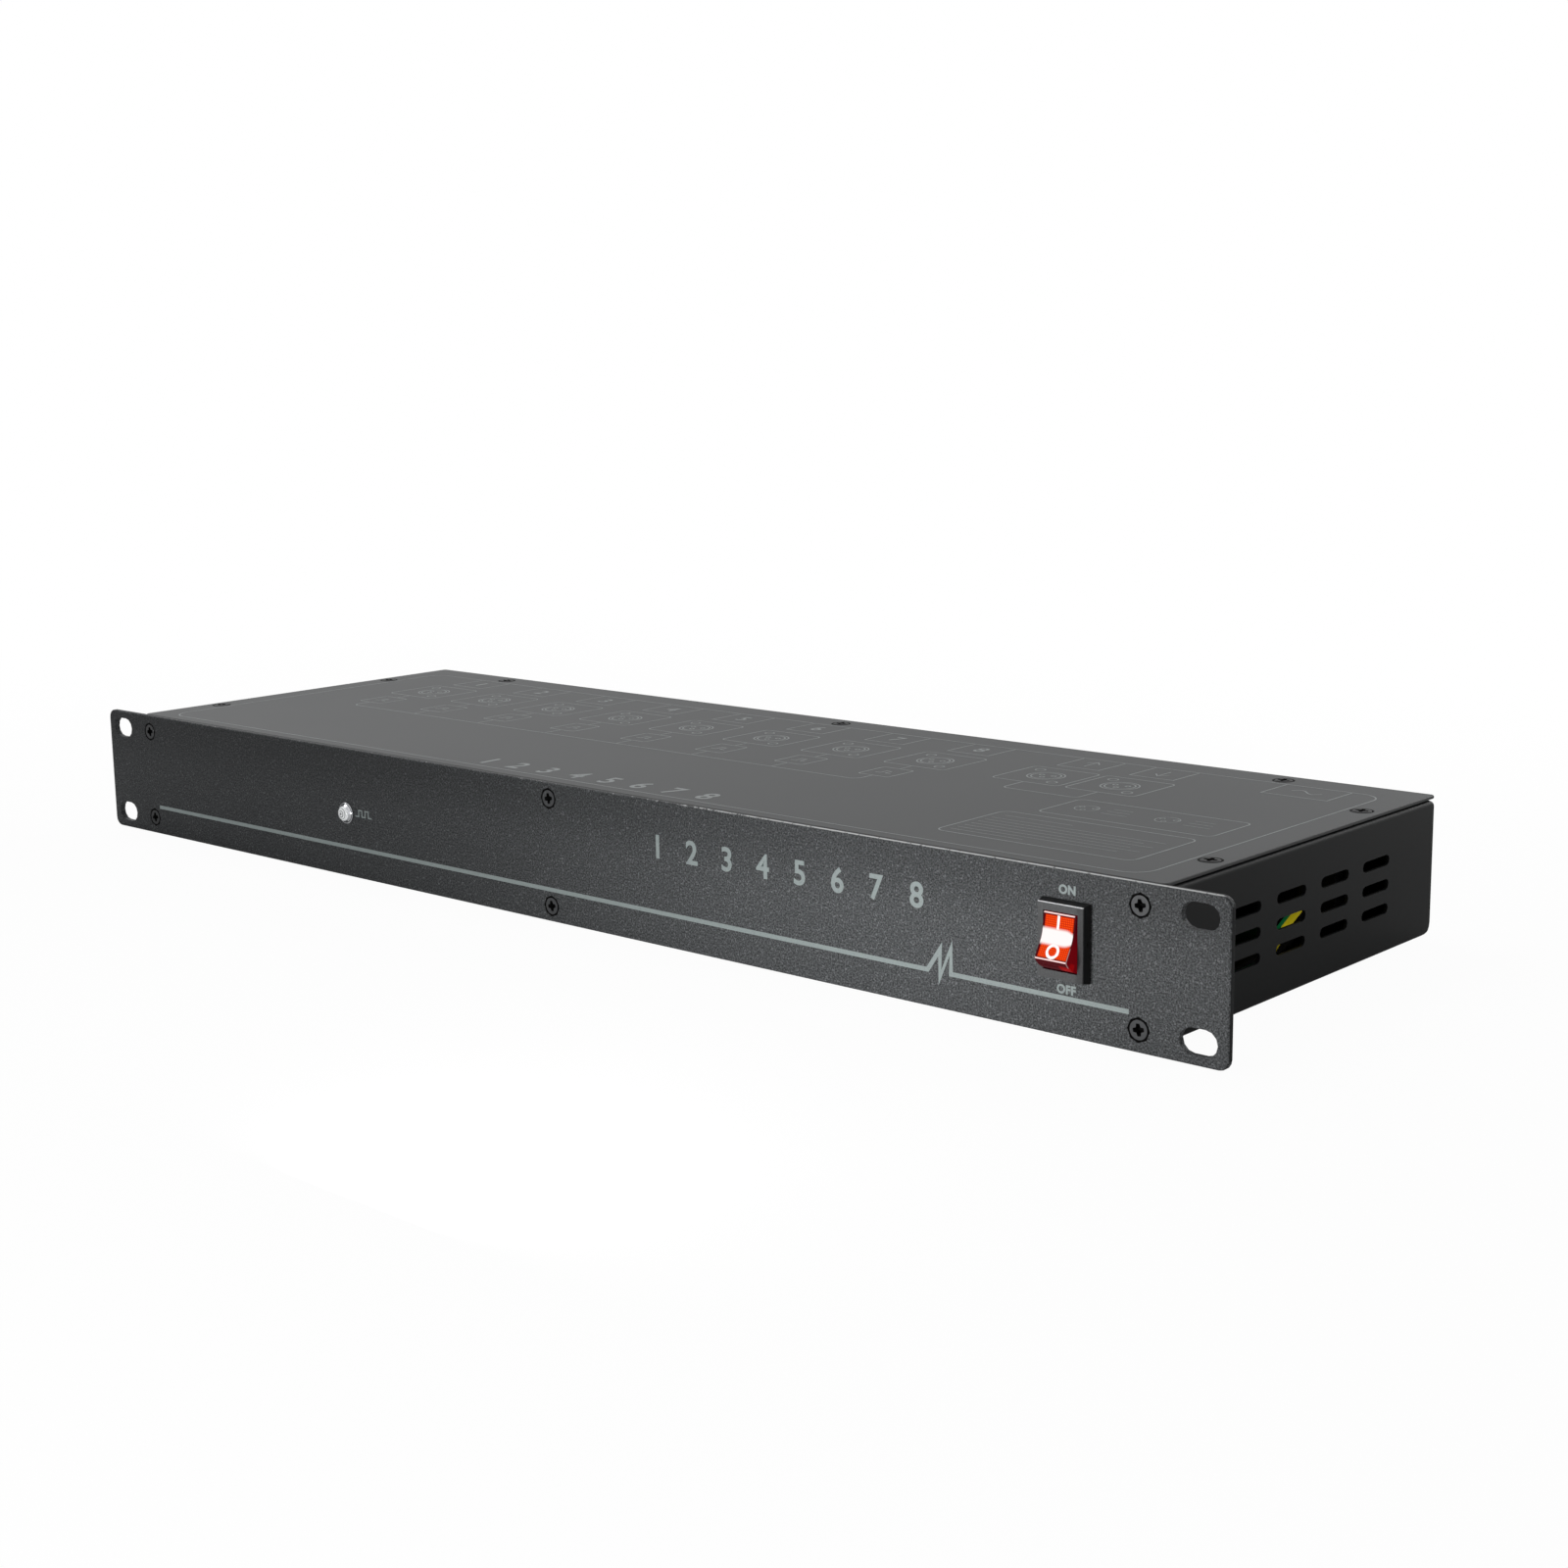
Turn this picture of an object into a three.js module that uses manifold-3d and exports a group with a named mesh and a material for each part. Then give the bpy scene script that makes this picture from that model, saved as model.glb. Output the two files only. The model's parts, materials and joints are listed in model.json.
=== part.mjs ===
// A one-unit rack splitter for lighting control signals. A folded steel tray is closed by a flat
// cover and a thicker front panel. Its rear wall carries eight female outputs, a female through
// connector, a male input and a mains inlet with a fuse drawer. The front panel carries a lit
// rocker switch and an indicator lamp.
// Millimetres. X runs to the right, Y from the front panel's face to the back, Z up from its foot.
import * as THREE from "three";
import { mergeVertices } from "three/addons/utils/BufferGeometryUtils.js";
import Module from "manifold-3d";

// Fits and tools
const seatGap = 0.3; // between two pieces that sit on or in each other
const overrun = 1; // how far a cutting tool runs past the face that it cuts
const joinDepth = 0.4; // how deep one form of a piece reaches into the next
const mergeDistance = 0.0001; // vertices nearer than this are one

// Smoothness of round forms
const roundSteps = 16; // around the rocker's well and the lamp's bezel
const connectorSteps = 14; // around a panel connector
const smallSteps = 8; // around a screw, pin or lamp
const tinySteps = 6; // around a connector's screw, a contact hole or a standoff
const arcSteps = 2; // doubled on each quarter of a rounded outline
const slotSteps = 3; // doubled on each round end of a rack slot
const ventSteps = 2; // the same, for a vent
const domeSteps = 3; // from the lamp's tip to its side
const hexSides = 6;

// Front panel
const panelWidth = 482.6; // over both rack ears
const panelHeight = 44;
const panelThickness = 2;
const panelCornerRadius = 3;
const panelEdge = 0.35; // broken edge around both faces
const rackSlotInset = 8.75; // from the end of the panel to the slot's centre
const rackSlotPitch = 31.75; // between the two slots of one ear
const rackSlotLength = 11;
const rackSlotHeight = 7;

// Tray
const earWidth = 20.3; // panel beyond the tray, at each end
const trayDepth = 142.8;
const trayLift = 2.2; // from the foot of the panel up to the tray
const steel = 1;
const foldRadius = 1.6; // outside of the folds along the sides and the front
const rearFoldRadius = 4; // outside of the fold under the rear wall
const wallCornerRadius = 2; // upper rear corner of the side walls
const sideFlange = 12;
const rearFlange = 12;
const frontFlange = 9;

// Side vents
const ventLength = 15.3;
const ventHeight = 3.1;
const ventColumns = 4;
const ventRows = 3;
const ventColumnPitch = 23.35;
const ventRowPitch = 7.05;
const ventStart = 40.9; // centre of the front column, from the panel's face
const ventLow = 15.5; // centre of the lowest row

// Cover
const coverThickness = 1;
const coverDrop = 0.1; // from the top of the panel down to the cover's face
const coverOverhang = 0.9; // past the rear wall
const coverCornerRadius = 1.5;
const coverEdge = 0.2; // broken edge around both faces
const coverScrewSide = 5.5; // from the cover's side edge
const coverScrewRear = 7; // from the cover's rear edge
const coverScrewFront = 32; // the front pair, from the panel's face
const coverScrewPitch = 80; // from the front pair to the rear pair
const coverScrewInset = 46; // from the cover's side edge to the outer rear screws

// Screws
const screwHeadRadius = 2.8;
const screwHeadDepth = 1.3;
const screwRim = 0.2; // straight rim at the head's edge
const screwShankRadius = 1.3;
const screwRing = 0.45; // countersink beyond the head
const screwRecessSpan = 3.6;
const screwRecessWidth = 0.8;
const screwRecessDepth = 1;
const panelScrewLength = 8;
const coverScrewLength = 6;
const coverScrewDome = 0.45; // raised head of a cover screw
const panelScrewSide = 5.8; // from the tray's side
const panelScrewInset = 6; // from the top or foot of the panel, at the sides
const panelScrewMiddleInset = 5; // the same, at the middle

// Rocker switch
const switchInset = 48; // from the right end of the panel to the switch's centre
const switchHeight = 25.7;
const bezelWidth = 15;
const bezelHeight = 20.8;
const bezelDepth = 2.7; // how far the bezel stands out
const bezelTaper = 0.5; // per side, from its foot to its face
const housingWidth = 12.6;
const housingHeight = 18.8;
const housingDepth = 17; // behind the panel's face
const windowWidth = 10.6;
const windowHeight = 15.5;
const housingFloor = 4.2; // solid part behind the rocker's space
const clipReach = 0.9; // how far a snap clip stands out at the side
const clipLength = 4;
const clipHeight = 8;
const rockerRadius = 7.9; // from the pivot to the ends
const rockerHalfChord = 6.1; // half the length of the front face
const rockerValley = 1.05; // how deep the front face is hollowed
const rockerChamfer = 0.35;
const rockerTiltDegrees = 19.5; // each way from level
const rockerTailDegrees = 30; // how far the round ends reach behind the pivot
const pivotRadius = 1;
const pivotReach = 0.7; // length of each pivot stub
const pivotDepth = 0.3; // pivot in front of the panel's face
const bladeWidth = 4.8;
const bladeThickness = 0.8;
const switchBladeLength = 7;
const switchBladePitch = 6;

// Indicator lamp
const lampInset = 140.7; // from the left end of the panel
const lampHeight = 21.9;
const lampFlangeRadius = 3.95;
const lampFlangeThickness = 0.7;
const lampRimRadius = 3.3;
const lampRimReach = 2.1; // from the panel's face to the rim
const lampTubeRadius = 3;
const lampTubeLength = 9;
const lampBore = 2.6;
const lampDomeReach = 2.5; // from the panel's face to the tip
const lampLegSpread = 2.54;
const lampLegThickness = 0.5;
const lampLegLength = 5;
const lampNutAcross = 9; // over two flats
const lampNutThickness = 2.5;
const lampNutRoom = 4; // around the nut, for a box spanner

// Three-pole panel connectors
const flangeWidth = 26;
const flangeHeight = 31;
const flangeThickness = 2;
const flangeCornerRadius = 2.5;
const flangeEdge = 0.3;
const barrelRadius = 11.8;
const barrelBeyond = 1.3; // of the barrel behind the insert's back
const fixingSpreadX = 19;
const fixingSpreadZ = 24;
const fixingHeadRadius = 2.6;
const fixingHeadHeight = 1.1; // above the flange
const socketBore = 9.75; // takes the shell of a plug
const socketCore = 7.9; // goes into a plug
const socketDepth = 15;
const socketMouth = 0.6; // chamfer around the bore
const insertBase = 3.5;
const insertSink = 0.5; // the insert's face lies this far inside the flange
const cupBore = 8.25; // takes the nose of a socket
const cupDepth = 14.5;
const contactOffset = 3.96;
const contactHole = 1.5;
const contactHoleDepth = 10;
const pinRadius = 1.2;
const pinSink = 1.5; // from the flange's face down to the pin's tip
const tailWidth = 1.2;
const tailLength = 5;

// Latch tab
const tabWidth = 8;
const tabFoot = 10.2; // from the connector's axis to the tab's lower edge
const tabHeight = 4.2;
const tabProud = 1.2;
const tabSeat = 0.4; // how deep the tab stands in its window at rest
const stemWidth = 3;
const stemHeight = 1.2;
const stemLength = 12;
const hookReach = 1.1;
const hookLength = 1.5;
const hookSetback = 9; // from the flange's face to the hook

// Row of connectors
const outputPitch = 35.2;
const outputMargin = 42; // least distance from the tray's left side to an output's centre
const outputBreak = 43.1; // from the last output to the through connector
const linkGap = 1; // between the flanges of the through and input connectors
const inputToInlet = 48.8;
const inletInset = 31; // from the tray's right side to the inlet's centre

// Mains inlet
const inletFlangeWidth = 48;
const inletFlangeHeight = 32;
const inletFlangeThickness = 2.5;
const inletFlangeRadius = 5;
const inletBodyWidth = 27;
const inletBodyHeight = 29;
const inletBodyDepth = 25;
const inletScrewSpread = 40;
const inletScrewHole = 1.8;
const cavityWidth = 24.2;
const cavityHeight = 16.6;
const cavityChamfer = 4.5;
const cavityLift = 4.6; // above the inlet's centre
const cavityDepth = 16;
const mainsBladeWidth = 2;
const mainsBladeHeight = 4;
const mainsBladeLength = 13;
const mainsBladeSpread = 14; // between line and neutral
const mainsBladeOffset = 2; // earth up, the others down
const drawerSlotHeight = 7.6;
const drawerSlotWidth = 22;
const drawerSlotDepth = 22; // behind the wall's outer face
const drawerDrop = 9.5; // below the inlet's centre
const drawerFace = 1.6;
const drawerLip = 1; // finger edge that stands out of the face
const drawerLipHeight = 1.4;
const fuseRadius = 2.5;
const fuseLength = 20;
const fuseCapRadius = 2.6;
const fuseCapLength = 5;
const tagWidth = 6.3;
const tagLength = 8;

// Boards
const boardThickness = 1.6;
const standoffHeight = 5;
const standoffRadius = 2.75;
const boardScrewRadius = 1.4;
const boardScrewHeight = 1.8; // head above the board
const boardScrewHeadRadius = 2.6;
const standoffInset = 6; // from a board's corner
const mainBoardGapLeft = 14; // from the tray's left wall
const mainBoardGapFront = 18;
const mainBoardGapRear = 15.7; // to the connector board
const boardToBoard = 12; // between the main board and the supply board
const supplyWidth = 74;
const supplyGapRear = 13.8; // to the tags of the mains inlet
const supplyGapRight = 21.5;
const tailGap = 0.3; // between the connectors' tails and their board
const connectorBoardFoot = 5; // above the tray's floor
const connectorBoardHeight = 30;
const connectorBoardMargin = 14; // beyond the end connectors
const driverWidth = 10;
const driverDepth = 6.5;
const driverHeight = 3.4;
const isolatorWidth = 12;
const isolatorDepth = 19;
const isolatorHeight = 8;
const headerDepth = 6;
const headerHeight = 9;
const transformerWidth = 34;
const transformerDepth = 30;
const transformerHeight = 24;
const transformerCore = 12; // width of the yoke over the winding
const windingInset = 4;
const canRadius = 6.5;
const canHeight = 20;
const canPitch = 16;
const sinkWidth = 26;
const sinkHeight = 22;
const sinkPlate = 2;
const finCount = 5;
const finDepth = 8;
const finThickness = 1.2;

// Earth stud and leads
const studInset = 8; // from the tray's right wall
const studPlace = 34; // from the panel's face
const studRadius = 2;
const studHeight = 10;
const studNutAcross = 7;
const studNutThickness = 3;
const earthWireRadius = 1.5;
const mainsLeadRadius = 2;
const leadSides = 8;
const leadSteps = 20;

// Places that follow from the sizes above
const bodyWidth = panelWidth - 2 * earWidth;
const bodySide = bodyWidth / 2;
const trayFront = panelThickness + seatGap;
const trayRear = trayFront + trayDepth;
const trayFoot = trayLift;
const coverTop = panelHeight - coverDrop;
const coverFoot = coverTop - coverThickness;
const trayTop = coverFoot - seatGap;
const trayFloor = trayFoot + steel;
const trayMiddle = (trayFoot + trayTop) / 2;
const coverRear = trayRear + coverOverhang;
const switchX = panelWidth / 2 - switchInset;
const lampX = lampInset - panelWidth / 2;
const inletX = bodySide - inletInset;
const inputX = inletX - inputToInlet;
const throughX = inputX - flangeWidth - linkGap;
const lastOutputX = throughX - outputBreak;
const outputCount = 1 + Math.floor((lastOutputX + bodySide - outputMargin) / outputPitch);
const firstOutputX = lastOutputX - (outputCount - 1) * outputPitch;
const outputXs = Array.from({ length: outputCount }, (_, i) => firstOutputX + i * outputPitch);
const femaleXs = [...outputXs, throughX];
const flangeFace = seatGap + flangeThickness;
const barrelLength = socketDepth + insertBase + barrelBeyond - flangeFace;
const rockerTilt = THREE.MathUtils.degToRad(rockerTiltDegrees);

// Finishes
const finishes = {
  powderCoat: { color: 0x3d3e40, roughness: 0.7, metalness: 0.1 },
  paintedSteel: { color: 0x1d1e1f, roughness: 0.55, metalness: 0.1 },
  coverPaint: { color: 0x5f6163, roughness: 0.5, metalness: 0.1 },
  blackScrew: { color: 0x26272a, roughness: 0.4, metalness: 0.8 },
  blackPlastic: { color: 0x1b1b1c, roughness: 0.5, metalness: 0 },
  redLens: { color: 0xd8220c, roughness: 0.25, metalness: 0 },
  chrome: { color: 0xd5d8dc, roughness: 0.1, metalness: 1 },
  clearLens: { color: 0xeef3f5, roughness: 0.05, metalness: 0 },
  zinc: { color: 0xb9bcc0, roughness: 0.35, metalness: 0.9 },
  board: { color: 0x1f5a34, roughness: 0.5, metalness: 0 },
  glass: { color: 0xdfe8ea, roughness: 0.05, metalness: 0 },
  earthLead: { color: 0xc9d21c, roughness: 0.5, metalness: 0 },
  mainsLead: { color: 0x2b2b2c, roughness: 0.5, metalness: 0 },
};

const wasm = await Module();
wasm.setup();

// A closed geometry as a solid that can be joined and cut. Triangles that a pole has shrunk to
// nothing are left out.
function solidOf(geometry) {
  const bare = geometry.clone();
  bare.deleteAttribute("normal");
  bare.deleteAttribute("uv");
  const merged = mergeVertices(bare, mergeDistance);
  const corners = merged.index.array;
  const kept = [];
  for (let i = 0; i < corners.length; i += 3) {
    const [a, b, c] = [corners[i], corners[i + 1], corners[i + 2]];
    if (a !== b && b !== c && c !== a) kept.push(a, b, c);
  }
  return new wasm.Manifold(
    new wasm.Mesh({
      numProp: 3,
      vertProperties: merged.attributes.position.array,
      triVerts: new Uint32Array(kept),
    }),
  );
}

// The geometry of a solid's surface.
function geometryOf(solid) {
  const mesh = solid.getMesh();
  const geometry = new THREE.BufferGeometry();
  geometry.setAttribute("position", new THREE.BufferAttribute(mesh.vertProperties, 3));
  geometry.setIndex(new THREE.BufferAttribute(mesh.triVerts, 1));
  geometry.computeVertexNormals();
  return geometry;
}

function join(...forms) {
  return geometryOf(forms.map(solidOf).reduce((whole, form) => whole.add(form)));
}

function cut(body, ...tools) {
  return geometryOf(tools.map(solidOf).reduce((rest, tool) => rest.subtract(tool), solidOf(body)));
}

function common(one, other) {
  return geometryOf(solidOf(one).intersect(solidOf(other)));
}

function moved(form, x, y, z) {
  return form.clone().translate(x, y, z);
}

// A block between two values on each axis.
function block([left, right], [front, back], [foot, top]) {
  const box = new THREE.BoxGeometry(right - left, back - front, top - foot);
  return box.translate((left + right) / 2, (front + back) / 2, (foot + top) / 2);
}

// A rectangle with its own radius at each corner, from the lower left one round to the upper left.
function roundedOutline([left, right], [foot, top], radii) {
  const [lowLeft, lowRight, highRight, highLeft] = radii;
  const quarter = Math.PI / 2;
  const outline = new THREE.Shape();
  outline.moveTo(left + lowLeft, foot);
  outline.lineTo(right - lowRight, foot);
  outline.absarc(right - lowRight, foot + lowRight, lowRight, -quarter, 0);
  outline.lineTo(right, top - highRight);
  outline.absarc(right - highRight, top - highRight, highRight, 0, quarter);
  outline.lineTo(left + highLeft, top);
  outline.absarc(left + highLeft, top - highLeft, highLeft, quarter, 2 * quarter);
  outline.lineTo(left, foot + lowLeft);
  outline.absarc(left + lowLeft, foot + lowLeft, lowLeft, 2 * quarter, 3 * quarter);
  return outline;
}

function evenOutline(width, height, radius) {
  return roundedOutline([-width / 2, width / 2], [-height / 2, height / 2], Array(4).fill(radius));
}

// A slot with round ends, lying along the outline's first axis.
function slotOutline(length, height) {
  const radius = height / 2;
  const reach = length / 2 - radius;
  const quarter = Math.PI / 2;
  const outline = new THREE.Shape();
  outline.absarc(reach, 0, radius, -quarter, quarter);
  outline.absarc(-reach, 0, radius, quarter, 3 * quarter);
  return outline;
}

function polygon(points) {
  return new THREE.Shape(points.map(([a, b]) => new THREE.Vector2(a, b)));
}

function extruded(outline, length, steps, edge) {
  return new THREE.ExtrudeGeometry(outline, {
    depth: length - 2 * edge,
    curveSegments: steps,
    bevelEnabled: edge > 0,
    bevelThickness: edge,
    bevelSize: edge,
    bevelOffset: -edge,
    bevelSegments: 1,
  });
}

// An outline in X and Z, given its thickness along Y.
function slab(outline, front, back, steps = arcSteps, edge = 0) {
  const form = extruded(outline, back - front, steps, edge);
  return form.rotateX(Math.PI / 2).translate(0, back - edge, 0);
}

// An outline in X and Y, given its thickness along Z.
function sheet(outline, foot, top, steps = arcSteps, edge = 0) {
  return extruded(outline, top - foot, steps, edge).translate(0, 0, foot + edge);
}

// An outline in Y and Z, drawn out along X.
function bar(outline, left, right, steps = arcSteps) {
  const form = extruded(outline, right - left, steps, 0);
  const alongY = new THREE.Vector3(0, 1, 0);
  const alongZ = new THREE.Vector3(0, 0, 1);
  const alongX = new THREE.Vector3(1, 0, 0);
  form.applyMatrix4(new THREE.Matrix4().makeBasis(alongY, alongZ, alongX));
  return form.translate(left, 0, 0);
}

// Points of radius and distance, turned about a line along Y.
function turned(profile, steps) {
  return new THREE.LatheGeometry(
    profile.map(([radius, y]) => new THREE.Vector2(radius, y)),
    steps,
  );
}

function rodY(radius, front, back, steps) {
  return new THREE.CylinderGeometry(radius, radius, back - front, steps).translate(
    0,
    (front + back) / 2,
    0,
  );
}

function rodX(radius, left, right, steps = smallSteps) {
  const rod = new THREE.CylinderGeometry(radius, radius, right - left, steps);
  return rod.rotateZ(Math.PI / 2).translate((left + right) / 2, 0, 0);
}

function rodZ(radius, foot, top, steps = smallSteps) {
  const rod = new THREE.CylinderGeometry(radius, radius, top - foot, steps);
  return rod.rotateX(Math.PI / 2).translate(0, 0, (foot + top) / 2);
}

// A six-sided bar, given by the distance over two flats.
function hexY(across, front, back) {
  return rodY(across / Math.sqrt(3), front, back, hexSides);
}

function piece(name, geometry, finish) {
  const mesh = new THREE.Mesh(geometry, new THREE.MeshStandardMaterial(finishes[finish]));
  mesh.name = name;
  return mesh;
}

// Screws: the head faces the front, with its edge at Y zero, and the shank runs back.
function screwForm(length, dome) {
  const domeShares = [
    [0, 1],
    [0.65, 0.6],
  ];
  const crown = dome > 0 ? domeShares : domeShares.slice(0, 1);
  const profile = [
    ...crown.map(([out, up]) => [out * screwHeadRadius, -up * dome]),
    [screwHeadRadius, 0],
    [screwHeadRadius, screwRim],
    [screwShankRadius, screwHeadDepth],
    [screwShankRadius, length],
    [0, length],
  ];
  const half = screwRecessSpan / 2;
  const thin = screwRecessWidth / 2;
  const [front, back] = [-dome - overrun, screwRecessDepth - dome];
  return cut(
    turned(profile, smallSteps),
    block([-half, half], [front, back], [-thin, thin]),
    block([-thin, thin], [front, back], [-half, half]),
  );
}

// The space that a screw's head and shank need, in the same place as the screw.
function screwSpace(depth) {
  return turned(
    [
      [0, -overrun],
      [screwHeadRadius + screwRing, -overrun],
      [screwHeadRadius + screwRing, 0],
      [screwShankRadius + seatGap, screwHeadDepth],
      [screwShankRadius + seatGap, depth],
      [0, depth],
    ],
    smallSteps,
  );
}

// Where the panel screws sit: the four corners of the tray and the middle, above and below.
function panelScrewPlaces() {
  const side = bodySide - panelScrewSide;
  const corners = [-side, side].flatMap((x) => [
    [x, panelHeight - panelScrewInset],
    [x, panelScrewInset],
  ]);
  const middle = [
    [0, panelHeight - panelScrewMiddleInset],
    [0, panelScrewMiddleInset],
  ];
  return [...corners, ...middle];
}

function coverScrewPlaces() {
  const side = bodySide - coverScrewSide;
  const sides = [-side, side].flatMap((x) => [
    [x, coverScrewFront],
    [x, coverScrewFront + coverScrewPitch],
  ]);
  const rear = coverRear - coverScrewRear;
  const spread = bodySide - coverScrewInset;
  return [...sides, ...[-spread, 0, spread].map((x) => [x, rear])];
}

function frontPanel() {
  const outline = evenOutline(panelWidth, panelHeight, panelCornerRadius);
  const middle = panelHeight / 2;
  const plate = moved(slab(outline, 0, panelThickness, arcSteps, panelEdge), 0, 0, middle);
  const slotForm = slab(
    slotOutline(rackSlotLength, rackSlotHeight),
    -overrun,
    panelThickness + overrun,
    slotSteps,
  );
  const slotX = panelWidth / 2 - rackSlotInset;
  const slots = [-slotX, slotX].flatMap((x) =>
    [-1, 1].map((side) => moved(slotForm, x, 0, middle + (side * rackSlotPitch) / 2)),
  );
  const screws = panelScrewPlaces().map(([x, z]) =>
    moved(screwSpace(panelThickness + overrun), x, 0, z),
  );
  const switchHole = moved(
    block(
      [-housingWidth / 2 - seatGap, housingWidth / 2 + seatGap],
      [-overrun, panelThickness + overrun],
      [-housingHeight / 2 - seatGap, housingHeight / 2 + seatGap],
    ),
    switchX,
    0,
    switchHeight,
  );
  const lampHole = moved(
    rodY(lampTubeRadius + seatGap, -overrun, panelThickness + overrun, smallSteps),
    lampX,
    0,
    lampHeight,
  );
  return cut(plate, ...slots, ...screws, switchHole, lampHole);
}

// The folded box that the tray is bent from, drawn in from its outside by a distance.
function foldedBox(inset, steps) {
  const across = roundedOutline(
    [inset - bodySide, bodySide - inset],
    [trayFoot + inset, trayTop - inset],
    Array(4).fill(foldRadius - inset),
  );
  const along = roundedOutline(
    [trayFront + inset, trayRear - inset],
    [trayFoot + inset, trayTop - inset],
    [foldRadius - inset, rearFoldRadius - inset, wallCornerRadius - inset, foldRadius - inset],
  );
  return common(
    slab(across, trayFront - overrun, trayRear + overrun, steps),
    bar(along, -bodySide - overrun, bodySide + overrun, steps),
  );
}

function ventTools() {
  const vent = bar(
    slotOutline(ventLength, ventHeight),
    -bodySide - overrun,
    bodySide + overrun,
    ventSteps,
  );
  const tools = [];
  for (let column = 0; column < ventColumns; column++)
    for (let row = 0; row < ventRows; row++)
      tools.push(
        moved(vent, 0, ventStart + column * ventColumnPitch, ventLow + row * ventRowPitch),
      );
  return tools;
}

// Openings in the front wall: room for the switch body and the lamp's nut, and the screw holes.
function frontWallTools() {
  const [front, back] = [trayFront - overrun, trayFront + steel + overrun];
  const roomX = bezelWidth / 2 + clipReach;
  const roomZ = bezelHeight / 2;
  const switchRoom = block(
    [switchX - roomX, switchX + roomX],
    [front, back],
    [switchHeight - roomZ, switchHeight + roomZ],
  );
  const roomRadius = lampNutAcross / 2 + lampNutRoom;
  const lampRoom = moved(rodY(roomRadius, front, back, smallSteps), lampX, 0, lampHeight);
  const screw = rodY(screwShankRadius + seatGap, front, back, smallSteps);
  return [switchRoom, lampRoom, ...panelScrewPlaces().map(([x, z]) => moved(screw, x, 0, z))];
}

function rearWallTools() {
  const [front, back] = [trayRear - steel - overrun, trayRear + overrun];
  const hole = rodY(barrelRadius + seatGap, front, back, connectorSteps);
  const inletHole = moved(
    block(
      [-inletBodyWidth / 2 - seatGap, inletBodyWidth / 2 + seatGap],
      [front, back],
      [-inletBodyHeight / 2 - seatGap, inletBodyHeight / 2 + seatGap],
    ),
    inletX,
    0,
    trayMiddle,
  );
  const holes = [...femaleXs, inputX].map((x) => moved(hole, x, 0, trayMiddle));
  return [...holes, inletHole];
}

// The outlines of the two boards that lie flat in the tray, as ranges in X and Y.
function mainBoardPlace() {
  const left = mainBoardGapLeft - bodySide;
  const right = supplyBoardPlace()[0][0] - boardToBoard;
  return [
    [left, right],
    [trayFront + mainBoardGapFront, connectorBoardBack() - boardThickness - mainBoardGapRear],
  ];
}

function supplyBoardPlace() {
  const right = bodySide - supplyGapRight;
  return [
    [right - supplyWidth, right],
    [trayFront + mainBoardGapFront, tagEndY() - supplyGapRear],
  ];
}

// Where the solder tails of the connectors end, less the gap to their board.
function connectorBoardBack() {
  return trayRear + flangeFace - socketDepth - insertBase - tailLength - tailGap;
}

// Where the tags behind the mains inlet end.
function tagEndY() {
  return trayRear - inletBodyDepth - tagLength;
}

function standoffPlaces([[left, right], [front, back]]) {
  return [left + standoffInset, right - standoffInset].flatMap((x) =>
    [front + standoffInset, back - standoffInset].map((y) => [x, y]),
  );
}

function tray() {
  const [openLeft, openRight] = [sideFlange - bodySide, bodySide - sideFlange];
  const opening = block(
    [openLeft, openRight],
    [trayFront + frontFlange, trayRear - rearFlange],
    [trayTop - steel - overrun, trayTop + overrun],
  );
  const coverScrew = rodZ(screwShankRadius + seatGap, trayTop - steel - overrun, trayTop + overrun);
  const coverScrews = coverScrewPlaces().map(([x, y]) => moved(coverScrew, x, y, 0));
  const shell = cut(
    foldedBox(0, arcSteps),
    foldedBox(steel, arcSteps / 2),
    opening,
    ...coverScrews,
    ...ventTools(),
    ...frontWallTools(),
    ...rearWallTools(),
  );
  const standoff = cut(
    rodZ(standoffRadius, trayFloor - joinDepth, trayFloor + standoffHeight, tinySteps),
    rodZ(
      boardScrewRadius + seatGap,
      trayFloor + overrun,
      trayFloor + standoffHeight + overrun,
      tinySteps,
    ),
  );
  const places = [...standoffPlaces(mainBoardPlace()), ...standoffPlaces(supplyBoardPlace())];
  return join(shell, ...places.map(([x, y]) => moved(standoff, x, y, 0)));
}

function cover() {
  const outline = roundedOutline(
    [-bodySide, bodySide],
    [trayFront, coverRear],
    Array(4).fill(coverCornerRadius),
  );
  const plate = sheet(outline, coverFoot, coverTop, arcSteps, coverEdge);
  const space = screwSpace(screwHeadDepth + overrun).rotateX(-Math.PI / 2);
  const spaces = coverScrewPlaces().map(([x, y]) => moved(space, x, y, coverTop));
  return cut(plate, ...spaces);
}

// Rocker switch, about its own centre on the panel's face. Y zero is that face.
function switchBezel() {
  const foot = block(
    [-bezelWidth / 2, bezelWidth / 2],
    [-bezelDepth - seatGap, -seatGap],
    [-bezelHeight / 2, bezelHeight / 2],
  );
  const corners = foot.attributes.position;
  for (let i = 0; i < corners.count; i++) {
    const atFace = corners.getY(i) < -seatGap;
    if (atFace) corners.setX(i, corners.getX(i) - Math.sign(corners.getX(i)) * bezelTaper);
    if (atFace) corners.setZ(i, corners.getZ(i) - Math.sign(corners.getZ(i)) * bezelTaper);
  }
  return foot;
}

function switchClip(side) {
  const flank = (side * housingWidth) / 2;
  const front = panelThickness + seatGap;
  const wedge = polygon([
    [flank - side * joinDepth, front],
    [flank + side * clipReach, front],
    [flank + side * joinDepth, front + clipLength],
    [flank - side * joinDepth, front + clipLength],
  ]);
  return sheet(wedge, -clipHeight / 2, clipHeight / 2);
}

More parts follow.
